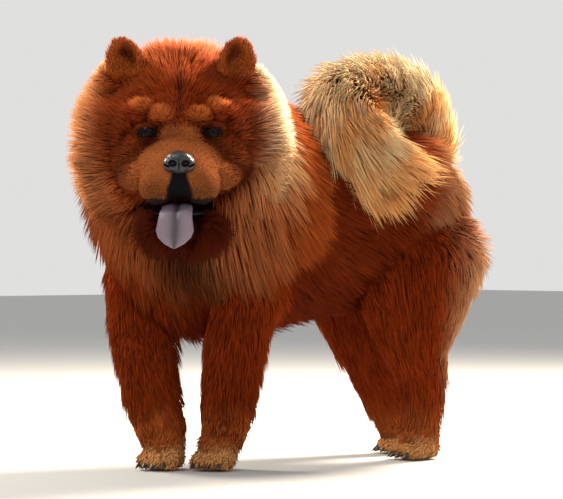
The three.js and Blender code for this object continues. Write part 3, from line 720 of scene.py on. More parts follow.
def body_paint(points, best, t, a):
    """Root and tip colours on the body."""
    name = np.array(BODY_LIMBS)[best]
    n, z = len(points), points[:, 2]
    roots, tips = np.tile(MAHOGANY, (n, 1)), np.tile(RED, (n, 1))
    patch = smooth(ripple(points, 90, 11), -0.7, 0.9)
    roots = mix(roots, RED, 0.45 * patch)
    trunk, neck, tail = (name == k for k in ("trunk", "neck", "tail"))
    hind, fore = (np.char.startswith(name, k) for k in ("hind", "fore"))
    # Pale rump edge, partly its own colour and partly painted backlight.
    tips = mix(tips, PALE, trunk * smooth(0.26 - t, 0, 0.26) * 0.8)
    tips = mix(tips, RUST, trunk * 0.2 * patch)
    tips = mix(tips, MAHOGANY, trunk * 0.5 * smooth(t, 0.2, 0.45))
    # Painted light: the ruff's tips brighten higher up the neck and stay darker below, in shade.
    tips = mix(tips, RUST, neck * 0.45 * smooth(z, 240, 350))
    # Pale breeches, partly their own colour and partly painted backlight.
    breeches = hind * smooth(lowness(a), 0.2, 1.1) * (1 - smooth(t, 0.4, 0.85))
    tips = mix(tips, PALE, breeches * blend(0.45, 0.75, smooth(t, 0, 0.16)))
    roots = mix(roots, TAIL_ROOT, tail * 0.95)
    tips = mix(tips, GOLD, tail * 1.0)
    # Random cream locks, more higher up: partly the plume's own colour, partly painted light on top.
    tips = mix(tips, CREAM, tail * 0.9 * smooth(ripple(points, 34, 3) + (z - 500) / 60, -0.9, 0.9))
    low, foot = smooth(120 - z, 0, 70), smooth(46 - z, 0, 16)
    roots = mix(roots, RUST, (hind | fore) * low * 0.75)
    tips = mix(tips, TAN, (hind | fore) * low * 0.7)
    # Tan feet, partly their own colour and partly painted sunlight.
    return mix(roots, FOOT_TAN_AND_SUNLIGHT, foot * 0.85), mix(tips, GOLD, foot * 0.9)


# %% [markdown]
# ## Tufts
# One tuft is a closed blade with three sides, bowed like hair that rises and lies over. It could be a
# curve with a thickness, but a mesh of ten triangles is lighter and exports as it is. Two are drawn, one
# for the long coat, broadest a little past its middle, and one for the fine fur of face and feet.

# %% The drawn tufts
LONG_RINGS = [(0, 0.7), (0.52, 1)]  # share of the length, share of the width
SHORT_RINGS = [(0, 0.7), (0.5, 1)]
TUFT_THICK = 0.16
FIELDS = {"FLOAT": "value", "QUATERNION": "value", "FLOAT_VECTOR": "vector", "FLOAT_COLOR": "color"}


def store(piece, name, kind, values):
    """Keeps a named value on each point of a mesh."""
    piece.data.attributes.new(name, kind, "POINT").data.foreach_set(FIELDS[kind], np.ravel(values))


def store_colour(piece, name, colour):
    """Keeps a colour on each point of a mesh."""
    store(piece, name, "FLOAT_COLOR", np.column_stack([np.clip(colour, 0, 1), np.ones(len(colour))]))


def draw_tuft(name, rings):
    """A blade along +X of length 1, width 1 and bow 1."""
    points, faces, leaf = [], [], []
    for t, w in rings:
        bow = 2 * t * (1 - t)
        for y, z in ((-0.5, -0.35), (0.5, -0.35), (0, 0.65)):
            points.append((t, y * w, bow + z * TUFT_THICK * w))
            leaf.append((t, y + 0.5, 0))
    for i in range(len(rings) - 1):
        for j in range(3):
            k = (j + 1) % 3
            faces.append((i * 3 + j, i * 3 + k, i * 3 + 3 + k))
            faces.append((i * 3 + j, i * 3 + 3 + k, i * 3 + 3 + j))
    last, tip = 3 * (len(rings) - 1), 3 * len(rings)
    points.append((1, 0, 0))
    leaf.append((1, 0.5, 0))
    faces += [(last + j, last + (j + 1) % 3, tip) for j in range(3)] + [(2, 1, 0)]
    tuft = mesh_object(name, points, faces)
    face_outwards(tuft)
    tuft.data.shade_smooth()
    store(tuft, "leaf", "FLOAT_VECTOR", leaf)
    print(name, len(faces), "triangles")
    return tuft


tufts = {"long": draw_tuft("tuft_long", LONG_RINGS), "short": draw_tuft("tuft_short", SHORT_RINGS)}


# %% [markdown]
# ## Planting
# A hair system would grow strands, which don't survive as a mesh. Geometry Nodes instead place one tuft
# on each root, turn it to its lie, stretch it to its length, width and bow, and give it its own small
# patch of the bake map. Instances are made real at the end, as the exported mesh needs.

# %% The node tree that plants them
PATCH = 0.003


def planting_tree():
    """Inputs: the roots as points, the tuft, the size of its patch of the bake map, and the finish."""
    tree = bpy.data.node_groups.new("Plant tufts", "GeometryNodeTree")
    socket = tree.interface.new_socket
    socket("Roots", in_out="INPUT", socket_type="NodeSocketGeometry")
    socket("Tuft", in_out="INPUT", socket_type="NodeSocketObject")
    socket("Patch", in_out="INPUT", socket_type="NodeSocketFloat").default_value = PATCH
    socket("Finish", in_out="INPUT", socket_type="NodeSocketMaterial")
    socket("Coat", in_out="OUTPUT", socket_type="NodeSocketGeometry")
    made, link = tree.nodes.new, tree.links.new

    def named(kind, name):
        node = made("GeometryNodeInputNamedAttribute")
        node.data_type = kind
        node.inputs["Name"].default_value = name
        return node.outputs["Attribute"]

    given, out = made("NodeGroupInput"), made("NodeGroupOutput")
    drawn = made("GeometryNodeObjectInfo")
    link(given.outputs["Tuft"], drawn.inputs["Object"])
    planted = made("GeometryNodeInstanceOnPoints")
    link(given.outputs["Roots"], planted.inputs["Points"])
    link(drawn.outputs["Geometry"], planted.inputs["Instance"])
    link(named("QUATERNION", "turn"), planted.inputs["Rotation"])
    link(named("FLOAT_VECTOR", "size"), planted.inputs["Scale"])
    real = made("GeometryNodeRealizeInstances")
    link(planted.outputs["Instances"], real.inputs["Geometry"])
    spread = made("ShaderNodeVectorMath")
    spread.operation = "SCALE"
    link(named("FLOAT_VECTOR", "leaf"), spread.inputs[0])
    link(given.outputs["Patch"], spread.inputs["Scale"])
    moved = made("ShaderNodeVectorMath")
    moved.operation = "ADD"
    link(spread.outputs[0], moved.inputs[0])
    link(named("FLOAT_VECTOR", "place"), moved.inputs[1])
    store = made("GeometryNodeStoreNamedAttribute")
    store.data_type, store.domain = "FLOAT2", "CORNER"
    store.inputs["Name"].default_value = "OFBake"
    link(real.outputs["Geometry"], store.inputs["Geometry"])
    link(moved.outputs[0], store.inputs["Value"])
    finish = made("GeometryNodeSetMaterial")
    link(store.outputs["Geometry"], finish.inputs["Geometry"])
    link(given.outputs["Finish"], finish.inputs["Material"])
    link(finish.outputs["Geometry"], out.inputs["Coat"])
    return tree


planting = planting_tree()
print("planting tree:", len(planting.nodes), "nodes")


# %% [markdown]
# ## A tuft's turn and size
# Each root needs its tuft's length along one way and its bow along another. A turn can be kept as three
# angles or as a quaternion, and the quaternion is taken, since it has no pole at which hair would twist.

# %% Turns from two ways
def quaternions(x_way, z_way):
    """Turns that carry +X onto x_way and +Z onto z_way, as rows of w, x, y, z."""
    m = np.stack([x_way, np.cross(z_way, x_way), z_way], -1)
    q = np.stack([
        1 + m[:, 0, 0] + m[:, 1, 1] + m[:, 2, 2], 1 + m[:, 0, 0] - m[:, 1, 1] - m[:, 2, 2],
        1 - m[:, 0, 0] + m[:, 1, 1] - m[:, 2, 2], 1 - m[:, 0, 0] - m[:, 1, 1] + m[:, 2, 2],
    ], -1)
    q = np.sqrt(np.maximum(q, 0)) / 2
    best = q.argmax(1)
    w, x, y, z = q.T

    def signed(value, by):
        return np.where(by < 0, -value, value)

    gaps = [m[:, 2, 1] - m[:, 1, 2], m[:, 0, 2] - m[:, 2, 0], m[:, 1, 0] - m[:, 0, 1]]
    sums = [m[:, 0, 1] + m[:, 1, 0], m[:, 0, 2] + m[:, 2, 0], m[:, 1, 2] + m[:, 2, 1]]
    cases = [
        (w, signed(x, gaps[0]), signed(y, gaps[1]), signed(z, gaps[2])),
        (signed(w, gaps[0]), x, signed(y, sums[0]), signed(z, sums[1])),
        (signed(w, gaps[1]), signed(x, sums[0]), y, signed(z, sums[2])),
        (signed(w, gaps[2]), signed(x, sums[1]), signed(y, sums[2]), z),
    ]
    out = np.zeros_like(q)
    for i, case in enumerate(cases):
        out[best == i] = np.stack(case, -1)[best == i]
    return out / np.linalg.norm(out, axis=1)[:, None]


def without(rows, way, share=1):
    """The rows with a share of their run along the way taken out."""
    return rows - (rows * way).sum(1)[:, None] * way * share


# %% One piece of coat
BOW_SEEN = 1.5  # mm, under which a tuft's bow follows the skin instead
BOW_MOST, BOW_SHARE = 4, 0.2  # the bow of a straight tuft, in mm and as a share of its length


def plant(name, kind, rows, finish):
    """A coat piece from rows of tufts in layout millimetres, from root over knee to tip."""
    start, tip = rows["start"], rows["tip"]
    length = np.maximum(np.linalg.norm(tip - start, axis=1), 1)
    x_way = (tip - start) / length[:, None]
    bow = without(rows["knee"] - (start + tip) / 2, x_way)
    height = np.linalg.norm(bow, axis=1)
    flat = without(rows["normal"], x_way) + 1e-6 * np.roll(x_way, 1, axis=1)
    flat /= np.linalg.norm(flat, axis=1)[:, None]
    bowed = (height > BOW_SEEN) & ((bow * flat).sum(1) > 0)
    z_way = np.where(bowed[:, None], bow / np.maximum(height, 1e-6)[:, None], flat)
    bow_size = np.maximum(height, np.minimum(BOW_MOST, length * BOW_SHARE))
    seeds = mesh_object(name + "_roots", metres(start), [])
    store(seeds, "turn", "QUATERNION", quaternions(x_way, z_way))
    store(seeds, "size", "FLOAT_VECTOR", np.stack([length, rows["width"], bow_size], -1) / 1000)
    store(seeds, "place", "FLOAT_VECTOR", np.column_stack([rows["place"], np.zeros(len(start))]))
    store_colour(seeds, "root_colour", rows["root_colour"])
    store_colour(seeds, "tip_colour", rows["tip_colour"])
    grow = seeds.modifiers.new("Plant tufts", "NODES")
    grow.node_group = planting
    ids = {item.name: item.identifier for item in planting.interface.items_tree if item.in_out == "INPUT"}
    grow[ids["Tuft"]] = tufts[kind]
    grow[ids["Patch"]] = PATCH
    grow[ids["Finish"]] = finish
    coat = applied(seeds, name)
    for spare in ("turn", "size", "place"):
        if spare in coat.data.attributes:
            coat.data.attributes.remove(coat.data.attributes[spare])
    print(name, len(start), "tufts,", len(coat.data.polygons), "faces")
    return coat


# %% [markdown]
# ## Finishes
# Shader sums are written as plain expressions through one small class, so that a recipe reads like
# arithmetic. Hair is a rough surface with little shine, whose colour runs from its root to its tip.
# Nose, lips, tongue and eyes are wet, and their gloss is what brings a face to life.

# %% Shader expressions
def put(tree, slot, value):
    """Links a shader value to a socket, or sets a plain one."""
    if isinstance(value, Sum):
        tree.links.new(value.socket, slot)
    else:
        slot.default_value = value


class Sum:
    """A shader value that can be subtracted, multiplied and raised to a power."""

    def __init__(self, tree, socket):
        self.tree, self.socket = tree, socket

    def _math(self, operation, a, b):
        node = self.tree.nodes.new("ShaderNodeMath")
        node.operation = operation
        put(self.tree, node.inputs[0], a)
        put(self.tree, node.inputs[1], b)
        return Sum(self.tree, node.outputs[0])

    def __sub__(self, other):
        return self._math("SUBTRACT", self, other)

    def __rsub__(self, other):
        return self._math("SUBTRACT", other, self)

    def __mul__(self, other):
        return self._math("MULTIPLY", self, other)

    def __rmul__(self, other):
        return self._math("MULTIPLY", other, self)

    def __pow__(self, other):
        return self._math("POWER", self, other)

    def __rpow__(self, other):
        return self._math("POWER", other, self)


class Finish:
    """A material with its Principled shader, and one method that makes any other node."""

    def __init__(self, name, **constants):
        self.material = bpy.data.materials.new(name)
        self.material.use_nodes = True
        self.tree = self.material.node_tree
        self.shader = self.tree.nodes["Principled BSDF"]
        for label, value in constants.items():
            self.shader.inputs[label.replace("_", " ")].default_value = value

    def node(self, kind, settings=None, output=0, **sockets):
        made = self.tree.nodes.new(kind)
        for label, value in (settings or {}).items():
            setattr(made, label, value)
        for label, value in sockets.items():
            put(self.tree, made.inputs[label.replace("_", " ")], value)
        return Sum(self.tree, made.outputs[output])

    def attribute(self, name, output=0):
        """A value kept on the mesh, read as a colour (0), a vector (1) or a number (2)."""
        return self.node("ShaderNodeAttribute", {"attribute_name": name}, output=output)

    def texture(self, kind, **sockets):
        """A texture on the piece's own coordinates."""
        return self.node(kind, Vector=self.node("ShaderNodeTexCoord", output=3), **sockets)

    def feed(self, label, value):
        self.tree.links.new(value.socket, self.shader.inputs[label])

    def colour_mix(self, factor, a, b):
        mixed = self.node("ShaderNodeMix", {"data_type": "RGBA"}, output=2)
        slots = mixed.socket.node.inputs
        put(self.tree, slots[0], factor)
        for slot, colour in ((slots[6], a), (slots[7], b)):
            put(self.tree, slot, colour if isinstance(colour, Sum) else (*colour, 1))
        return mixed

    def bump(self, height, strength, distance):
        self.feed("Normal", self.node("ShaderNodeBump", Height=height, Strength=strength, Distance=distance))


# %% Coat and skin
TOWARDS_TIP = 1.15  # above 1, the root's colour lasts longer along the tuft

fur = Finish("Coat", Roughness=0.85, Specular_IOR_Level=0.04)
along = fur.node("ShaderNodeSeparateXYZ", Vector=fur.attribute("leaf", 1))
root_to_tip = fur.colour_mix(along**TOWARDS_TIP, fur.attribute("root_colour"), fur.attribute("tip_colour"))
fur.feed("Base Color", root_to_tip)

hide = Finish("Skin", Specular_IOR_Level=0.05)
hide.feed("Base Color", hide.attribute("skin_colour"))
hide.feed("Roughness", 0.85 - 0.3 * hide.attribute("bare", 2))
hide.bump(hide.texture("ShaderNodeTexNoise", Scale=420.0, Detail=3.0), 0.35, 0.0006)

# %% [markdown]
# ## Wet and horny parts
# A nose is leather with a fine grain of cells, a tongue has small papillae, and both are damp. Images
# could show that too, but a fine texture that only bumps the surface keeps its edge at any distance.
# The coat layer of the shader stands for the film of water.

# %% Wet and horny finishes
nose_finish = Finish("Nose leather", Roughness=0.34, Coat_Weight=0.25, Coat_Roughness=0.2)
cells = nose_finish.texture("ShaderNodeTexVoronoi", Scale=620.0)
nose_finish.feed("Base Color", nose_finish.colour_mix(cells, rgb(14, 12, 14), rgb(36, 33, 37)))
nose_finish.bump(cells, 0.55, 0.0005)

lip_finish = Finish("Lips", Roughness=0.36, Specular_IOR_Level=0.25, Base_Color=(*rgb(14, 10, 12), 1))
lip_finish.bump(lip_finish.texture("ShaderNodeTexNoise", Scale=180.0), 0.4, 0.0008)

tongue_finish = Finish(
    "Tongue", Roughness=0.42, Coat_Weight=0.3, Coat_Roughness=0.25,
    Subsurface_Weight=0.1, Subsurface_Scale=0.004,
)
# Painted shade: the tongue is darker along its middle groove and on its underside.
groove = tongue_finish.attribute("groove", 2)
tongue_finish.feed("Base Color", tongue_finish.colour_mix(groove, rgb(122, 106, 118), rgb(62, 50, 58)))
tongue_finish.bump(tongue_finish.texture("ShaderNodeTexNoise", Scale=700.0), 0.3, 0.0005)

eye_finish = Finish("Eye", Roughness=0.12, Specular_IOR_Level=0.02, Coat_Weight=0.16, Coat_Roughness=0.02)
iris = eye_finish.attribute("iris", 2)
eye_finish.feed("Base Color", eye_finish.colour_mix(iris, rgb(4, 2, 2), rgb(26, 11, 5)))

claw_finish = Finish("Claw", Roughness=0.32, Base_Color=(*rgb(52, 44, 40), 1))
finishes = (fur, hide, nose_finish, lip_finish, tongue_finish, eye_finish, claw_finish)
print("finishes:", [finish.material.name for finish in finishes])

# %% [markdown]
# ## Painting the skins
# The skin carries the coat's own colours, darkened as painted shade under the hair, with black lips, lids
# and philtrum where it is bare. The throat is dark too, because the open jaw shades it.

# %% Skin colours
# Share of the coat's colour left on the skin, as painted shade under the hair.
SHADE_UNDER_HAIR = 0.6


def paint_skin(piece, colour, bare_share):
    """Keeps colour and bareness on the skin's points, and gives it its finish."""
    store_colour(piece, "skin_colour", colour)
    store(piece, "bare", "FLOAT", bare_share)
    piece.data.materials.clear()
    piece.data.materials.append(hide.material)


body_points = corners(body)[0]
best, t, a, _, _ = read_limbs(body_points)
body_roots, _ = body_paint(body_points, best, t, a)
throat = bump_at(to_head(body_points), (40, 0, -115), (95, 75, 60))
body_colour = mix(body_roots * SHADE_UNDER_HAIR, BLACK, smooth(throat, 0, 0.4))
paint_skin(body, body_colour, np.zeros(len(body_points)))
head_points = corners(head)[0]
head_bare = bare_skin(both_sides(to_head(head_points)))
paint_skin(head, mix(head_paint(head_points)[0] * SHADE_UNDER_HAIR, BLACK, head_bare), head_bare)
print("painted", len(body_points) + len(head_points), "points")

# %% [markdown]
# ## The body's coat
# Roots are drawn over the body's skin, a little denser on the ruff and tail, whose hair is longest and
# seen against the light. Each tuft varies in length, width and lie, and neighbours lean together a
# little, which parts the coat as real hair parts.

# %% How tufts vary
def vary(n, share):
    """Factors round 1 that differ by up to a share."""
    return 1 + share * (2 * roll.random(n) - 1)


def clump(points, scale, amount, seed):
    """Sideways lean in mm, shared by neighbours."""
    return np.stack([ripple(points, scale, seed + k) for k in range(3)], -1) * amount


def bake_place(across, along):
    """Spots of the bake map, clear of its edges, for two shares from 0 to 1."""
    return np.column_stack([0.02 + 0.95 * across, 0.02 + 0.95 * np.clip(along, 0, 1)])


# %% Where the body's coat grows
BODY_COUNT, FOOT_COUNT, HEAD_COUNT = 94000, 6500, 44000
COAT_ENDS, FOOT_FUR = 48, (4, 50)  # heights over the floor in mm


def under_head(points):
    """True for body skin that the head covers."""
    q = to_head(points)

    def inside(at, r):
        return (((q - at) / r) ** 2).sum(1) < 1

    return inside((0, 0, -10), (70, 84, 84)) | inside((50, 0, -106), (80, 60, 30))


def body_density(points):
    """How thickly tufts stand: none on the feet and under the head, and most on the tail."""
    z = points[:, 2]
    by_tail = smooth(1.25 - limbs["tail"].locate(points)[2], 0, 0.1)
    on_legs = smooth(260 - z, 0, 60)
    thickness = blend(1, 1.2, smooth(z, 380, 480)) - 0.22 * on_legs + 0.9 * by_tail
    return (z > COAT_ENDS) * ~under_head(points) * thickness


# %% How the body's tufts lie
BODY_DEEP, FINE_DEEP = 3, 1.5  # how far under the skin a tuft starts, in mm
TIP_LOW, KNEE_LOW = 4, 5  # the least height of tips and knees over the floor, in mm

roots, normals = scatter(body, BODY_COUNT, body_density)
best, t, a, knee, tip = read_limbs(roots)
limb_name = np.array(BODY_LIMBS)[best]
on_tail = limb_name == "tail"
n = len(roots)
reach = (0.62 + 0.45 * roll.random(n))[:, None]
lean = clump(roots, 30, 6, 20) + clump(roots, 10, 2.6, 40) + roll.normal(size=(n, 3)) * 1.8
reach = np.where(on_tail[:, None], reach * vary(n, 0.25)[:, None], reach)
lean = np.where(on_tail[:, None], lean * 1.7, lean)
long = np.linalg.norm(tip, axis=1)
scale = np.clip(long / 70, 0.15, 1.2)[:, None]
knees = roots + knee * reach + lean * scale * 0.45
tips = roots + tip * reach + lean * scale
tips[:, 2] = np.maximum(tips[:, 2], TIP_LOW)
knees[:, 2] = np.maximum(knees[:, 2], KNEE_LOW)
widths = np.clip(long * 0.032, 1.3, 2.2) * vary(n, 0.3) * np.where(on_tail, 0.78, 1)
print("body tufts:", n, "longest, mm:", round(long.max()))

# %% [markdown]
# ## The colour of each tuft
# No two locks have the same colour, so each tuft is a little lighter or darker, and so are neighbours
# together. The ruff's rim is gold where the light comes through it. Hair under the chin and on the
# flank is darker, since little light gets between its layers.

# %% How the body's tufts are coloured
RUFF_GOLD = mix(GOLD, CREAM, 0.2)


def ruff_gold_and_backlight(tips):
    """The ruff's gold tips, own colour and painted backlight: most on the rim, less below and in shade."""
    x, y, z = to_head(tips).T
    rim = smooth(np.hypot(y, z + 10), 104, 152) * (1 - 0.75 * smooth(-z, 60, 140))
    rim *= smooth(x, -95, -55) * (1 - 0.8 * smooth(z, 40, 90) * smooth(90 - np.abs(y), 0, 30))
    return rim * blend(0.5, 1, smooth(y, -20, 40))


root_c, tip_c = body_paint(roots, best, t, a)
# The ruff's rim, gold partly of its own colour and partly as painted backlight.
tip_c = mix(tip_c, RUFF_GOLD, 0.8 * ruff_gold_and_backlight(tips) * (limb_name == "neck"))
shade = (1 + 0.12 * ripple(roots, 14, 70) + 0.1 * roll.normal(size=n))[:, None]
root_c, tip_c = root_c * shade * 0.86, tip_c * shade
flank_shade = 1 - 0.3 * ((limb_name == "trunk") * smooth(0.4 - np.abs(t - 0.5), 0, 0.2))[:, None]
root_c, tip_c = root_c * flank_shade, tip_c * flank_shade
under_chin = 1 - 0.88 * bump_at(to_head(roots), (60, 0, -150), (110, 70, 66))[:, None]
root_c, tip_c = root_c * under_chin, tip_c * under_chin

# %% Plant the body's coat
PIECE_MOST = 19000  # tufts in one piece, which stays under 200,000 triangles
RUMP_ENDS = 0.36  # share of the trunk's length
TAIL_NODES = ["tail_base", "tail_curl", "tail_end"]
coat_pieces = []


def grow(name, kind, rows, mask, nodes):
    """Plants the masked rows as one piece, or as a few where they are many."""
    parts = np.array_split(np.flatnonzero(mask), max(1, math.ceil(mask.sum() / PIECE_MOST)))
    for i, part in enumerate(parts):
        label = name if len(parts) == 1 else f"{name}_{i + 1}"
        piece = plant(label, kind, {key: values[part] for key, values in rows.items()}, fur.material)
        coat_pieces.append((piece, nodes))


body_rows = dict(
    start=roots - normals * BODY_DEEP, knee=knees, tip=tips, width=widths, normal=normals,
    root_colour=root_c, tip_colour=tip_c, place=bake_place(a / (2 * np.pi) % 1, t * 0.8 + 0.1),
)
on_trunk = limb_name == "trunk"
grow("rump_coat", "long", body_rows, on_trunk & (t < RUMP_ENDS), ["torso"])
grow("flank_coat", "long", body_rows, on_trunk & (t >= RUMP_ENDS), ["torso"])
grow("ruff_coat", "long", body_rows, limb_name == "neck", ["neck"])
grow("tail_coat", "long", body_rows, on_tail, TAIL_NODES)
for leg in LEGS:
    grow(f"leg_{leg}_coat", "long", body_rows, limb_name == leg, [f"leg_{leg}"])

# %% [markdown]
# ## The feet's fur
# A chow's foot is covered in short dense fur that runs forward and down over the toes. It uses the short
# tuft and its own lie, as the limbs' lie would run it straight into the floor.

# %% Growing the feet's fur
FOOT_LOW = 2

roots, normals = scatter(body, FOOT_COUNT, lambda p: (p[:, 2] < FOOT_FUR[1]) * (p[:, 2] > FOOT_FUR[0]))
middles = np.array([bend(*FEET[name], 0) for name in FEET])
nearest = ((roots[:, None, :2] - middles[None, :, :2]) ** 2).sum(-1).argmin(1)
forward = [foot_place(name)([[1, 0, 0]])[0] - foot_place(name)([[0, 0, 0]])[0] for name in FEET]
way = without(np.array(forward)[nearest] + np.array([0, 0, -0.7]), normals, 0.9)
n = len(roots)
long = (blend(7, 12, smooth(roots[:, 2], 24, 48)) * vary(n, 0.3))[:, None]
tips = roots + (way + 0.32 * normals + roll.normal(size=(n, 3)) * 0.14) * long
tips[:, 2] = np.maximum(tips[:, 2], FOOT_LOW)
root_c, tip_c = body_paint(roots, *read_limbs(roots)[:3])
shade = (1 + 0.12 * roll.normal(size=n))[:, None]
spot = 0.5 + np.clip((roots - middles[nearest])[:, :2] / 130, -0.48, 0.48)
foot_rows = dict(
    start=roots - normals * FINE_DEEP, knee=roots + (way * 0.5 + 0.42 * normals) * long, tip=tips,
    width=np.full(n, 1.7), normal=normals, root_colour=root_c * shade * 0.85,
    tip_colour=tip_c * shade, place=spot,
)
for i, name in enumerate(FEET):
    grow(f"paw_{name}_fur", "short", foot_rows, nearest == i, [f"paw_{name}"])

# %% [markdown]
# ## The head's coat
# Short hair starts round the nose and lengthens as it runs back. It is a few millimetres long on the
# muzzle and brow pads, two or three centimetres on cheeks and forehead, and stands out to the full depth
# of the ruff behind them. Lips, lids, philtrum and nostrils stay bare.

# %% How long the head's hair is
RUFF_ENDS = 0.96  # share of the neck's length past which the ruff no longer covers the head


def on_chin(x, z):
    """1 under the jaw, ahead of the throat."""
    return smooth(-z, 108, 120) * smooth(x, -10, 10)


def head_lengths(points):
    """How far hair rises from the skin, how far it runs along it, and how far it is ruff or ear."""
    q = both_sides(to_head(points))
    x, y, z = q.T
    short = blend(4.5, 8, smooth(-x, -100, -62))
    run = blend(short, 26, smooth(np.hypot(y, z + 45), 58, 100) * smooth(-x, -78, -40))
    inner, outer = BROW_PADS
    pads = np.maximum(bump_at(q, inner, (30, 18, 14)), bump_at(q, outer, (30, 20, 12)))
    run = blend(run, 12, pads * 0.8)
    run = blend(run, 4, bump_at(q, (62, 45, -4), (26, 24, 16)) * 0.8)
    ear = smooth(z, 66, 78) * smooth(y, 40, 52)
    by_ear = bump_at(q, (16, 70, 62), (34, 48, 50))
    run = blend(run, 17, by_ear)
    wheel = smooth(34 - x, 0, 46) * (1 - ear) * (1 - by_ear)
    run = blend(run, 34, on_chin(x, z))
    full = 46 - 24 * smooth(z, 20, 80) * smooth(95 - y, 0, 30) + 12 * smooth(-z, 20, 80)
    rise = blend(run * 0.5, full, wheel)
    return blend(rise, 3, ear), blend(blend(run, 46, wheel), 6.5, ear), wheel, ear


def head_density(points):
    """How thickly hair stands: none on bare skin or inside the ruff, and most on muzzle and chin."""
    q = both_sides(to_head(points))
    x, y, z = q.T
    mouth = (x > 12) & (z < -88) & (z > -114) | (x > 60) & (y < 22) & (z < -104)
    by_nose = (((q - NOSE_AT) / (np.array(NOSE_R) + 1)) ** 2).sum(1) < 1
    along_neck, _, near_neck = limbs["neck"].locate(points)
    clear = np.where(along_neck < RUFF_ENDS, smooth(near_neck, 0.9, 1), 1)
    grown = np.where(mouth | by_nose | (bare_skin(q) > 0.4), 0, 1) * clear
    return grown * blend(1, 1.7, smooth(x, 20, 60)) * blend(1, 2, smooth(-z, 112, 118))


# %% [markdown]
# ## How the face's hair flows
# Hair on a dog's face flows away from the nose. It parts at the furrow of the forehead, rises over the
# brows, falls from the chin and stands up on the ears. Each of these is a push added to one flow, which
# is then laid onto the skin, so that no border shows between them.

# %% The flow on the head
MUZZLE_TIP, CHIN_FALL, EAR_RISE = (118, 0, -52), (-30, 0, -130), (0.25, 0, 1.0)
WHEEL_MIDDLE = -16


def unit(rows):
    """The rows at length 1."""
    return rows / np.maximum(np.linalg.norm(rows, axis=1), 1e-6)[:, None]


def face_flow(q, local_normal, wheel, ear):
    """The way of the hair along the skin, in the head's own frame."""
    x, y, z = q.T
    flow = q - np.array(MUZZLE_TIP)
    flow[:, 0] -= 30 * wheel
    forehead = smooth(z, 16, 40) * smooth(x, -30, 10)
    flow[:, 1] += forehead * (1.1 * y + 46 * np.tanh(y / 4))
    flow[:, 2] += 24 * smooth(x, 30, 60) * smooth(z, -10, 20) * (1 - forehead)
    flow = unit(mix(flow, np.array(CHIN_FALL), on_chin(x, z)))
    flow = np.where((ear > 0.5)[:, None], EAR_RISE, flow)
    return unit(without(flow, local_normal))


def outwards(q, local_normal, wheel):
    """The way in which hair stands off the skin: straight up, and away from the face in the wheel."""
    radial = q * (0, 1, 1) - (0, 0, WHEEL_MIDDLE)
    radial[:, 0] = 0
    return local_normal * (1 - 0.5 * wheel)[:, None] + unit(radial) * (0.5 * wheel)[:, None]


# %% How the head's tufts lie
HEAD_TOP = 605  # mm over the floor, just under the top of the solids

roots, normals = scatter(head, HEAD_COUNT, head_density)
n = len(roots)
rise, run, wheel, ear = head_lengths(roots)
q, local_normal = to_head(roots), normals @ HEAD_TURN
flow = face_flow(q, local_normal, wheel, ear) @ HEAD_TURN.T
outward = outwards(q, local_normal, wheel) @ HEAD_TURN.T
amount = (0.68 + 0.4 * roll.random(n))[:, None]
lean = (clump(roots, 22, 0.12, 90) + roll.normal(size=(n, 3)) * 0.055) * (rise + run)[:, None]
tips = roots + (outward * rise[:, None] + flow * run[:, None]) * amount + lean
in_ruff = (ear < 0.5) & (wheel > 0.05)
tips = np.where(in_ruff[:, None], limbs["face"].held(tips, 1.0), tips)
room = HEAD_TOP - 16 * roll.random(n) - roots[:, 2]
tips[:, 2] = np.minimum(tips[:, 2], roots[:, 2] + np.maximum(room, 4))
knees = roots + (outward * rise[:, None] * 0.72 + flow * run[:, None] * 0.42) * amount + lean * 0.4
print("head tufts:", n)

# %% Colour and plant the head's coat
root_c, tip_c = head_paint(roots)
# The wheel's rim: its own gold plus painted backlight, palest on the dog's left, with brighter roots.
sunny = mix(GOLD, CREAM, blend(0.15, 1.0, smooth(q[:, 1], -30, 70)))
edge = ruff_gold_and_backlight(tips)
tip_c = mix(tip_c, sunny, edge * wheel)
root_c = mix(root_c, RUST, 0.6 * edge * wheel)
shade = (1 + 0.1 * ripple(roots, 13, 75) + 0.08 * roll.normal(size=n))[:, None]
spin = np.arctan2(q[:, 2] - WHEEL_MIDDLE, q[:, 1]) / (2 * np.pi) % 1
widths = np.clip((rise + run) * 0.029, 1.0, 2) * vary(n, 0.3)
head_rows = dict(
    start=roots - normals * FINE_DEEP, knee=knees, tip=tips, width=widths, normal=normals,
    root_colour=root_c * shade * 0.95, tip_colour=tip_c * shade, place=bake_place(spin, (q[:, 0] + 75) / 195),
)
long_hair = wheel > 0.12
grow("head_coat", "long", head_rows, long_hair, ["head"])
grow("face_fur", "short", head_rows, ~long_hair & (ear < 0.5), ["head"])
grow("ear_fur", "short", head_rows, ~long_hair & (ear >= 0.5), ["ear_left", "ear_right"])
for tuft in tufts.values():
    bpy.data.objects.remove(tuft)


# %% [markdown]
# ## The nose
# The nose is a cushion with comma-shaped nostrils and a groove down its middle. It is fused from four
# balls like the head, only much finer, and the nostrils, their slits and the groove are cut out of it.

# %% Nose
NOSE_VOXEL = 0.0009


def nose_ball(ahead, left, up, r, turn=(0, 0, 0), parts=(40, 24)):
    return ball((NOSE_AT[0] + ahead, left, NOSE_AT[2] + up), r, turn, parts=parts)


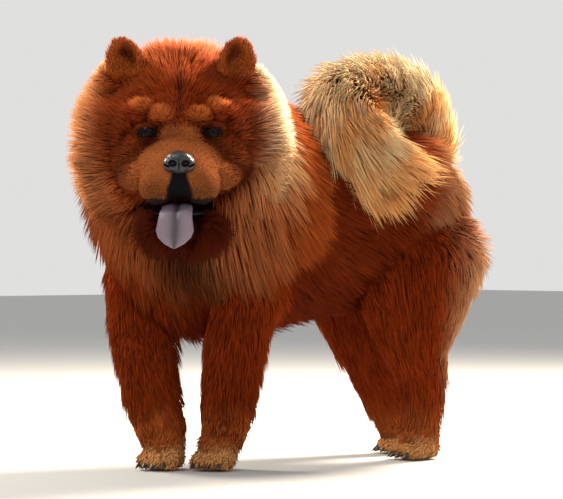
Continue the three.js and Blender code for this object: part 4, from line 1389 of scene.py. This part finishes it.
nose_forms = [nose_ball(0, 0, 0, (14, 20, 15)), nose_ball(1, 0, 4, (14, 17, 11.5))]
nose_cuts = [nose_ball(16, 0, -10, (7, 0.9, 16), parts=(24, 16))]
for k in (1, -1):
    nose_forms.append(nose_ball(1, k * 12, -2, (13.5, 9.5, 11)))
    nose_cuts.append(nose_ball(14, k * 8.6, -1, (9, 5.7, 4.7), (k * 14, 0, 0), (24, 16)))
    nose_cuts.append(nose_ball(9, k * 16.2, -4, (9, 5.2, 1.7), (k * 24, 0, 0), (24, 16)))
nose = fused("nose_leather", nose_forms, NOSE_VOXEL, rounds=5, carved=nose_cuts)
nose.data.materials.clear()
nose.data.materials.append(nose_finish.material)

# %% [markdown]
# ## The lower lip
# Under the open mouth the black edge of the lower lip shows as a thin dark bow. It is a flat loft whose
# plan follows the jaw, rounded by a subdivision.

# %% Lower lip
JAW = [  # how far ahead, half width, half thickness
    (0, 46, 6), (22, 46, 6), (44, 43, 6), (62, 37, 6), (76, 28, 5.5), (83, 18, 4),
]
JAW_HEIGHT = -111

angles = np.linspace(0, 2 * np.pi, 40, endpoint=False)
rings = []
for x, half, thick in JAW:
    tall = JAW_HEIGHT + thick * np.sin(angles)
    rings.append(in_head(np.stack([np.full(40, x), half * np.cos(angles), tall], -1)))
jaw = loft("lower_lip", rings, in_head((-4, 0, JAW_HEIGHT)), in_head((86, 0, JAW_HEIGHT)))
jaw.data.shade_smooth()
round_off = jaw.modifiers.new("round", "SUBSURF")
round_off.levels = round_off.render_levels = 1
jaw = applied(jaw, "lower_lip")
jaw.data.materials.append(lip_finish.material)
print("lower lip:", len(jaw.data.polygons), "faces")

# %% [markdown]
# ## The tongue
# A chow's tongue is blue-black. Here it hangs over the lower lip, with raised edges, a groove along its
# middle and a pointed tip. Its line is a limb like the others, and each ring across it is drawn by a
# formula, so that groove and edges run evenly to the tip.

# %% Tongue
TONGUE_LINE = [(36, 0, -101), (66, -2, -101), (86, -3, -103), (96, -5, -114), (99, -6, -132), (98, -7, -157)]
TONGUE_HALF = [(0, 15), (0.25, 17), (0.45, 20), (0.6, 22), (0.78, 25), (0.86, 22), (0.94, 13), (0.985, 4)]
LEFTWARD = HEAD_TURN[:, 1]

tongue_limb = Limb([(*p, 1, 1) for p in TONGUE_LINE], place=lambda *p: in_head(p), up=LEFTWARD)
rings, grooves = [], []
wide = np.linspace(-1, 1, 17)
inner = wide[1:-1]
for t in np.linspace(0, 0.985, 48):
    centre, along_way = (v[0] for v in tongue_limb.at(np.array([t]))[:2])
    out_way = np.cross(along_way, LEFTWARD)
    out_way *= np.sign(out_way @ in_head((1, 0, 1)) - out_way @ np.array(HEAD_AT)) or 1
    half = np.interp(t, *zip(*TONGUE_HALF))
    raised = 1.6 * np.abs(wide) ** 2 - 1.7 * np.exp(-((wide / 0.13) ** 2))
    rim = raised + 0.25 * np.sin(t * 60) * (1 - wide**2)
    front = centre + np.outer(wide * half, LEFTWARD) + np.outer(3.6 * (1 - wide**4) + rim, out_way)
    back = centre + np.outer(inner[::-1] * half, LEFTWARD) - np.outer(3.2 * (1 - inner**4), out_way)
    rings.append(np.vstack([front, back]))
    # Painted shade: darker along the middle groove and on the underside.
    grooves.append(np.append(np.exp(-((wide / 0.3) ** 2)), np.full(len(inner), 0.6)))
first, last = tongue_limb.at(np.array([0.0, 1.0]))[0]
tongue = loft("tongue_blade", rings, first, last)
tongue.data.shade_smooth()
store(tongue, "groove", "FLOAT", np.clip(np.append(np.ravel(grooves), [0.6, 0.8]), 0, 1))
tongue.data.materials.append(tongue_finish.material)
print("tongue:", len(tongue.data.polygons), "faces")

# %% [markdown]
# ## The eyes
# A chow's eyes are small, dark and deep in their slits. Each is a plain ball, and its iris is a ring of
# stored values round the way in which the dog looks, so no picture is needed.

# %% Eyes
PUPIL, IRIS = (13, 17), (36, 42)  # degrees off the gaze at which the ring begins and ends

eyes = {}
for name, k in SIDES.items():
    at = (EYE_AT[0], k * EYE_AT[1], EYE_AT[2])
    eye = ball(at, (EYE_R, EYE_R, EYE_R), parts=(48, 32))
    eye.name = eye.data.name = "eyeball_" + name
    eye.data.shade_smooth()
    look = (to_head(corners(eye)[0]) - at) / EYE_R
    gaze = np.array([0.97, k * 0.22, -0.06])
    off = np.degrees(np.arccos(np.clip(look @ (gaze / np.linalg.norm(gaze)), -1, 1)))
    store(eye, "iris", "FLOAT", smooth(off, *PUPIL) * (1 - smooth(off, *IRIS)))
    eye.data.materials.append(eye_finish.material)
    eyes[name] = eye
print("eyes:", list(eyes))

# %% [markdown]
# ## The claws
# Four blunt dark claws stand out of each foot's fur and curve down to the floor. A loop draws each in its
# foot's own frame, from the same places as the toes.

# %% Claws
CLAW_RINGS = [(0, 3.4), (0.35, 3.2), (0.7, 2.2), (0.93, 0.9)]  # share of its length, half width

claws = {}
for name in FEET:
    place = foot_place(name)
    spread = np.linspace(0, 2 * np.pi, 16, endpoint=False)
    for i, (x, y) in enumerate(TOES):
        rings = []
        for f, r in CLAW_RINGS:
            centre = np.array([x + 13 + 14 * f, y, 10.5 - 1.5 * f - 5.5 * f * f])
            ring = np.stack([0.3 * r * np.sin(spread), r * 0.8 * np.cos(spread), r * np.sin(spread)], -1)
            rings.append(place(centre + ring))
        claw = loft(f"claw_{name}_{i + 1}_horn", rings, place((x + 12, y, 10.5)), place((x + 27.5, y, 3.2)))
        claw.data.shade_smooth()
        claw.data.materials.append(claw_finish.material)
        claws[f"claw_{name}_{i + 1}"] = claw
print("claws:", len(claws))

# %% [markdown]
# ## What rides and what is replaced
# The model is still, so that everything rides on the one body. Each piece is attached to it, and the
# solids that it stands for are hidden.

def declare(piece, nodes):
    """Attaches a piece to the one body, and hides the solids that it stands for."""
    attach(piece, "root")
    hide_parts(*nodes)


flesh = ["torso", "neck", *TAIL_NODES, *(f"leg_{k}" for k in LEGS), *(f"paw_{k}" for k in LEGS)]
declare(body, flesh)
declare(head, ["head", "ear_left", "ear_right"])
for piece, nodes in coat_pieces:
    declare(piece, nodes)
declare(nose, ["nose"])
declare(jaw, ["lower_jaw"])
declare(tongue, ["tongue"])
for name, eye in eyes.items():
    declare(eye, ["eye_" + name])
for name, claw in claws.items():
    declare(claw, [name])
faces = sum(len(piece.data.polygons) for piece, _ in coat_pieces)
print("coat pieces:", len(coat_pieces), "their faces:", faces)

# %% [markdown]
# ## Floor, light and camera
# A plain pale floor and large soft lights show the form without hard shadows. A stronger light from
# behind and above rims the ruff, tail and breeches, as the low sun does in the photograph. The camera
# stands level at the dog's chest height, far off with a long lens.

# %% Floor and air
HALF_FLOOR = 12  # metres, far enough for the edge to stand at the horizon
FLOOR_GREY, AIR_WHITE, AIR_STRENGTH = (0.44, 0.44, 0.43, 1), (0.93, 0.93, 0.92, 1), 0.8

edge_places = [(x * HALF_FLOOR, y * HALF_FLOOR, 0) for x, y in ((-1, -1), (1, -1), (1, 1), (-1, 1))]
floor = mesh_object("floor", edge_places, [(0, 1, 2, 3)])
floor.data.materials.append(Finish("Floor", Roughness=0.8, Base_Color=FLOOR_GREY).material)

world = bpy.data.worlds.new("Studio")
bpy.context.scene.world = world
world.use_nodes = True
air = world.node_tree.nodes["Background"].inputs
air["Color"].default_value = AIR_WHITE
air["Strength"].default_value = AIR_STRENGTH

# %% Lights
VIEW_AZIMUTH, VIEW_DISTANCE, VIEW_SIDE, VIEW_HEIGHT = 50, 3925, 26, 310
LIGHTS = [  # name, towards the viewer, to the right, up, size in metres, power in watts, colour
    ("key", 1.5, -1.5, 2.7, 1.4, 32, (1, 0.96, 0.9)),
    ("fill", 2.4, 2.0, 1.2, 2.4, 6, (0.95, 0.97, 1)),
    ("rim", -1.6, 1.5, 2.2, 1.0, 340, (1, 0.88, 0.72)),
    ("rim_left", -1.4, -1.8, 1.8, 0.9, 100, (1, 0.9, 0.76)),
]
AIM = np.array([0, 0, 0.3])
towards = np.array([math.cos(math.radians(VIEW_AZIMUTH)), math.sin(math.radians(VIEW_AZIMUTH)), 0])
rightward = np.array([-towards[1], towards[0], 0])


def light(name, place, size, power, colour):
    """A round soft lamp that is aimed at the dog's middle."""
    lamp = bpy.data.lights.new(name, "AREA")
    lamp.shape, lamp.size, lamp.energy, lamp.color = "DISK", size, power, colour
    made = bpy.data.objects.new(name, lamp)
    made.location = place
    made.rotation_mode = "QUATERNION"
    made.rotation_quaternion = Vector(AIM - place).to_track_quat("-Z", "Y")
    bpy.context.scene.collection.objects.link(made)


for name, ahead, right, up, size, power, colour in LIGHTS:
    light(name, towards * ahead + rightward * right + np.array([0, 0, up]), size, power, colour)
print("lights:", len(LIGHTS))

# %% Camera
IMAGE_WIDTH, FOCAL_PIXELS, SENSOR = 563, 2700, 36

camera_data = bpy.data.cameras.new("camera")
camera_data.sensor_width = SENSOR
camera_data.lens = SENSOR * FOCAL_PIXELS / IMAGE_WIDTH
camera_data.clip_end = 60
camera = bpy.data.objects.new("camera", camera_data)
camera.location = metres(towards * VIEW_DISTANCE + rightward * VIEW_SIDE + np.array([0, 0, VIEW_HEIGHT]))
camera.rotation_euler = (math.pi / 2, 0, math.radians(VIEW_AZIMUTH + 90))
bpy.context.scene.collection.objects.link(camera)
bpy.context.scene.camera = camera
bpy.context.scene.view_settings.view_transform = "Standard"
print("camera at", [round(v, 3) for v in camera.location], "lens", round(camera_data.lens, 1))
